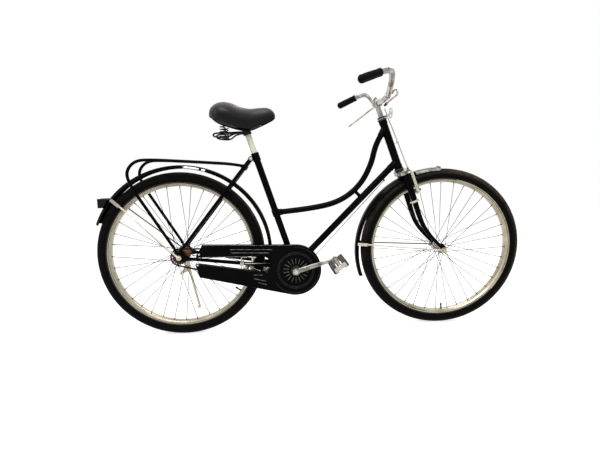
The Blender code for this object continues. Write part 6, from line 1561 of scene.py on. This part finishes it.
def makeCrank(name, node, side, turn, inner):
    reach, place = drive["crank"], drive["crankSide"]
    path = [polar(crankCentre, reach * share, turn, side * (place + out))
            for share, out in ((0, 0), (0.5, 0.001), (1, 0.006))]
    bore, outward, way = drive["spindle"] + bike["gap"], place + 0.0095, Y * side
    boss = [(bore, inner), (0.015, inner), (0.0155, inner + 0.0006),
            *mm((15.5, -3), (14.7, -0.8), (13.8, 0), (11.2, 0), (10.5, -1.6), long=outward), (bore, outward - 0.0016)]
    cap = mm((0, -0.9), (10.2, -0.9), (10.8, -0.4), (10.6, 0.7), (9, 1.3), (0, 1.5), long=outward)
    panel = [path[0].lerp(path[2], share) + way * out for share, out in ((0.16, 0.005), (0.5, 0.0047), (0.88, 0.0042))]
    pieces = [sweep("arm", flowing(path, 10), lambda t: (0.006 - 0.001 * t, 0.011 - 0.0025 * t), 28),
              lathe("boss", boss, crankCentre, way, 48), lathe("cap", cap, crankCentre, way, 40),
              collar("eye", drive["pin"] + bike["gap"], 0.013, -0.0068, 0.0068, 0.0012, 0.001, path[2], Y, 40),
              sweep("panel", panel, lambda t: (0.0012, 0.0046 - 0.001 * t), 16)]
    pieces += [lathe("flute", mm((0, 0), (1.4, 0), (1.2, 0.8), (0, 1)),
                     polar(crankCentre, 0.0131, 30.0 * k, side * (outward - 0.0006)), way, 10) for k in range(12)]
    if side < 0:
        pieces.append(toothedDisc("ring", crankCentre - Y * drive["side"], drive["big"], drive["bore"]))
    dress(joined(name, *pieces), "crankset", "dull chrome", node)


def makeSpindle():
    race, size, end = 0.0168, drive["spindle"], drive["spindleHalf"]
    half = [(size, 0.024), (race, 0.024), (race, 0.032), (size, 0.032), (size, end - 0.0006), (size - 0.0006, end),
            (0, end)]
    dress(lathe("crankSpindle", bothWays(half), crankCentre, Y, 32), "crankset", "pale zinc", "crank_spindle")


def pedalBlock(centre, along, length):  # a rubber block with flats, edge grooves and rows of nubs
    (wide, high), steps, rings = drive["block"], 60, []
    upward = along.cross(Y)
    for k in range(steps + 1):
        inset = 0.0014 * max(0.0, 1 - min(k, steps - k) / 2.0)
        groove = 0.001 if (k % 5) in (2, 3) and 4 < k < steps - 4 else 0.0
        ring = []
        for a, b in drive["blockShape"]:
            rise = b * (high - 2 * inset) - (groove * (1 if b > 0 else -1) if abs(b) >= 0.49 else 0.0)
            ring.append(centre + Y * (k / steps - 0.5) * length + along * a * (wide - 2 * inset) + upward * rise)
        rings.append(ring)
    return skin("rubberBlock", rings, angle=30)


def makePedal(name, side):
    place = polar(crankCentre, drive["crank"], drive["angle"] + (180 if side > 0 else 0), side * drive["pedalSide"])
    along, way, spread = polar(origin, 1, drive["pedalAngle"]), Y * side, drive["spread"]
    start, end = [place + way * (0.01 + off) for off in (0, drive["pedalLength"])]
    metal = [rod("pin", place - way * 0.013, start + way * 0.004, drive["pin"], 28),
             rod("sleeve", start + way * 0.0008, end + way * 0.0025, 0.0085, 32, 0.001),
             lathe("flats", mm((5.5, 1), (8.8, 1), (9.2, 1.6), (9.2, 5.2), (8.8, 5.8), (5.5, 5.8)), place, way, 6,
                   0, 20),
             lathe("cap", mm((0, 2.2), (7.2, 2.2), (7.6, 2.8), (7.4, 4), (5, 4.8), (0, 5)), end - way * 0.0008, way,
                   24)]
    for spot, out in ((start + way * 0.0015, -way), (end - way * 0.0015, way)):
        metal.append(block("plate", spot, (spread + 0.004, 0.003, 0.019), along, ease=0.0009))
        metal += [lathe("nut", mm((0, 0), (4.4, 0), (4.6, 0.5), (4.6, 2.2), (3.6, 3), (0, 3.2)),
                        spot + along * spread * step * 0.94 + out * 0.0014, out, 6, 0, 20) for step in (-0.5, 0.5)]
    rubber = [pedalBlock((start + end) / 2 + along * spread * step, along, drive["pedalLength"] - 0.0066)
              for step in (-0.5, 0.5)]
    dress(joined(name + "Pedal", *metal), name + "_pedal", "pale zinc", name + "_pedal")
    dress(joined(name + "PedalRubbers", *rubber), name + "_pedal", "pedal rubber")


makeChain()
makeCrank("rightCrank", "chainwheel_and_right_crank", -1, drive["angle"], drive["side"] - 0.003)
makeCrank("leftCrank", "left_crank", 1, drive["angle"] + 180, drive["crankSide"] - 0.014)
makeSpindle()
for name, side in hands:
    makePedal(name, side)
print("drive is made")
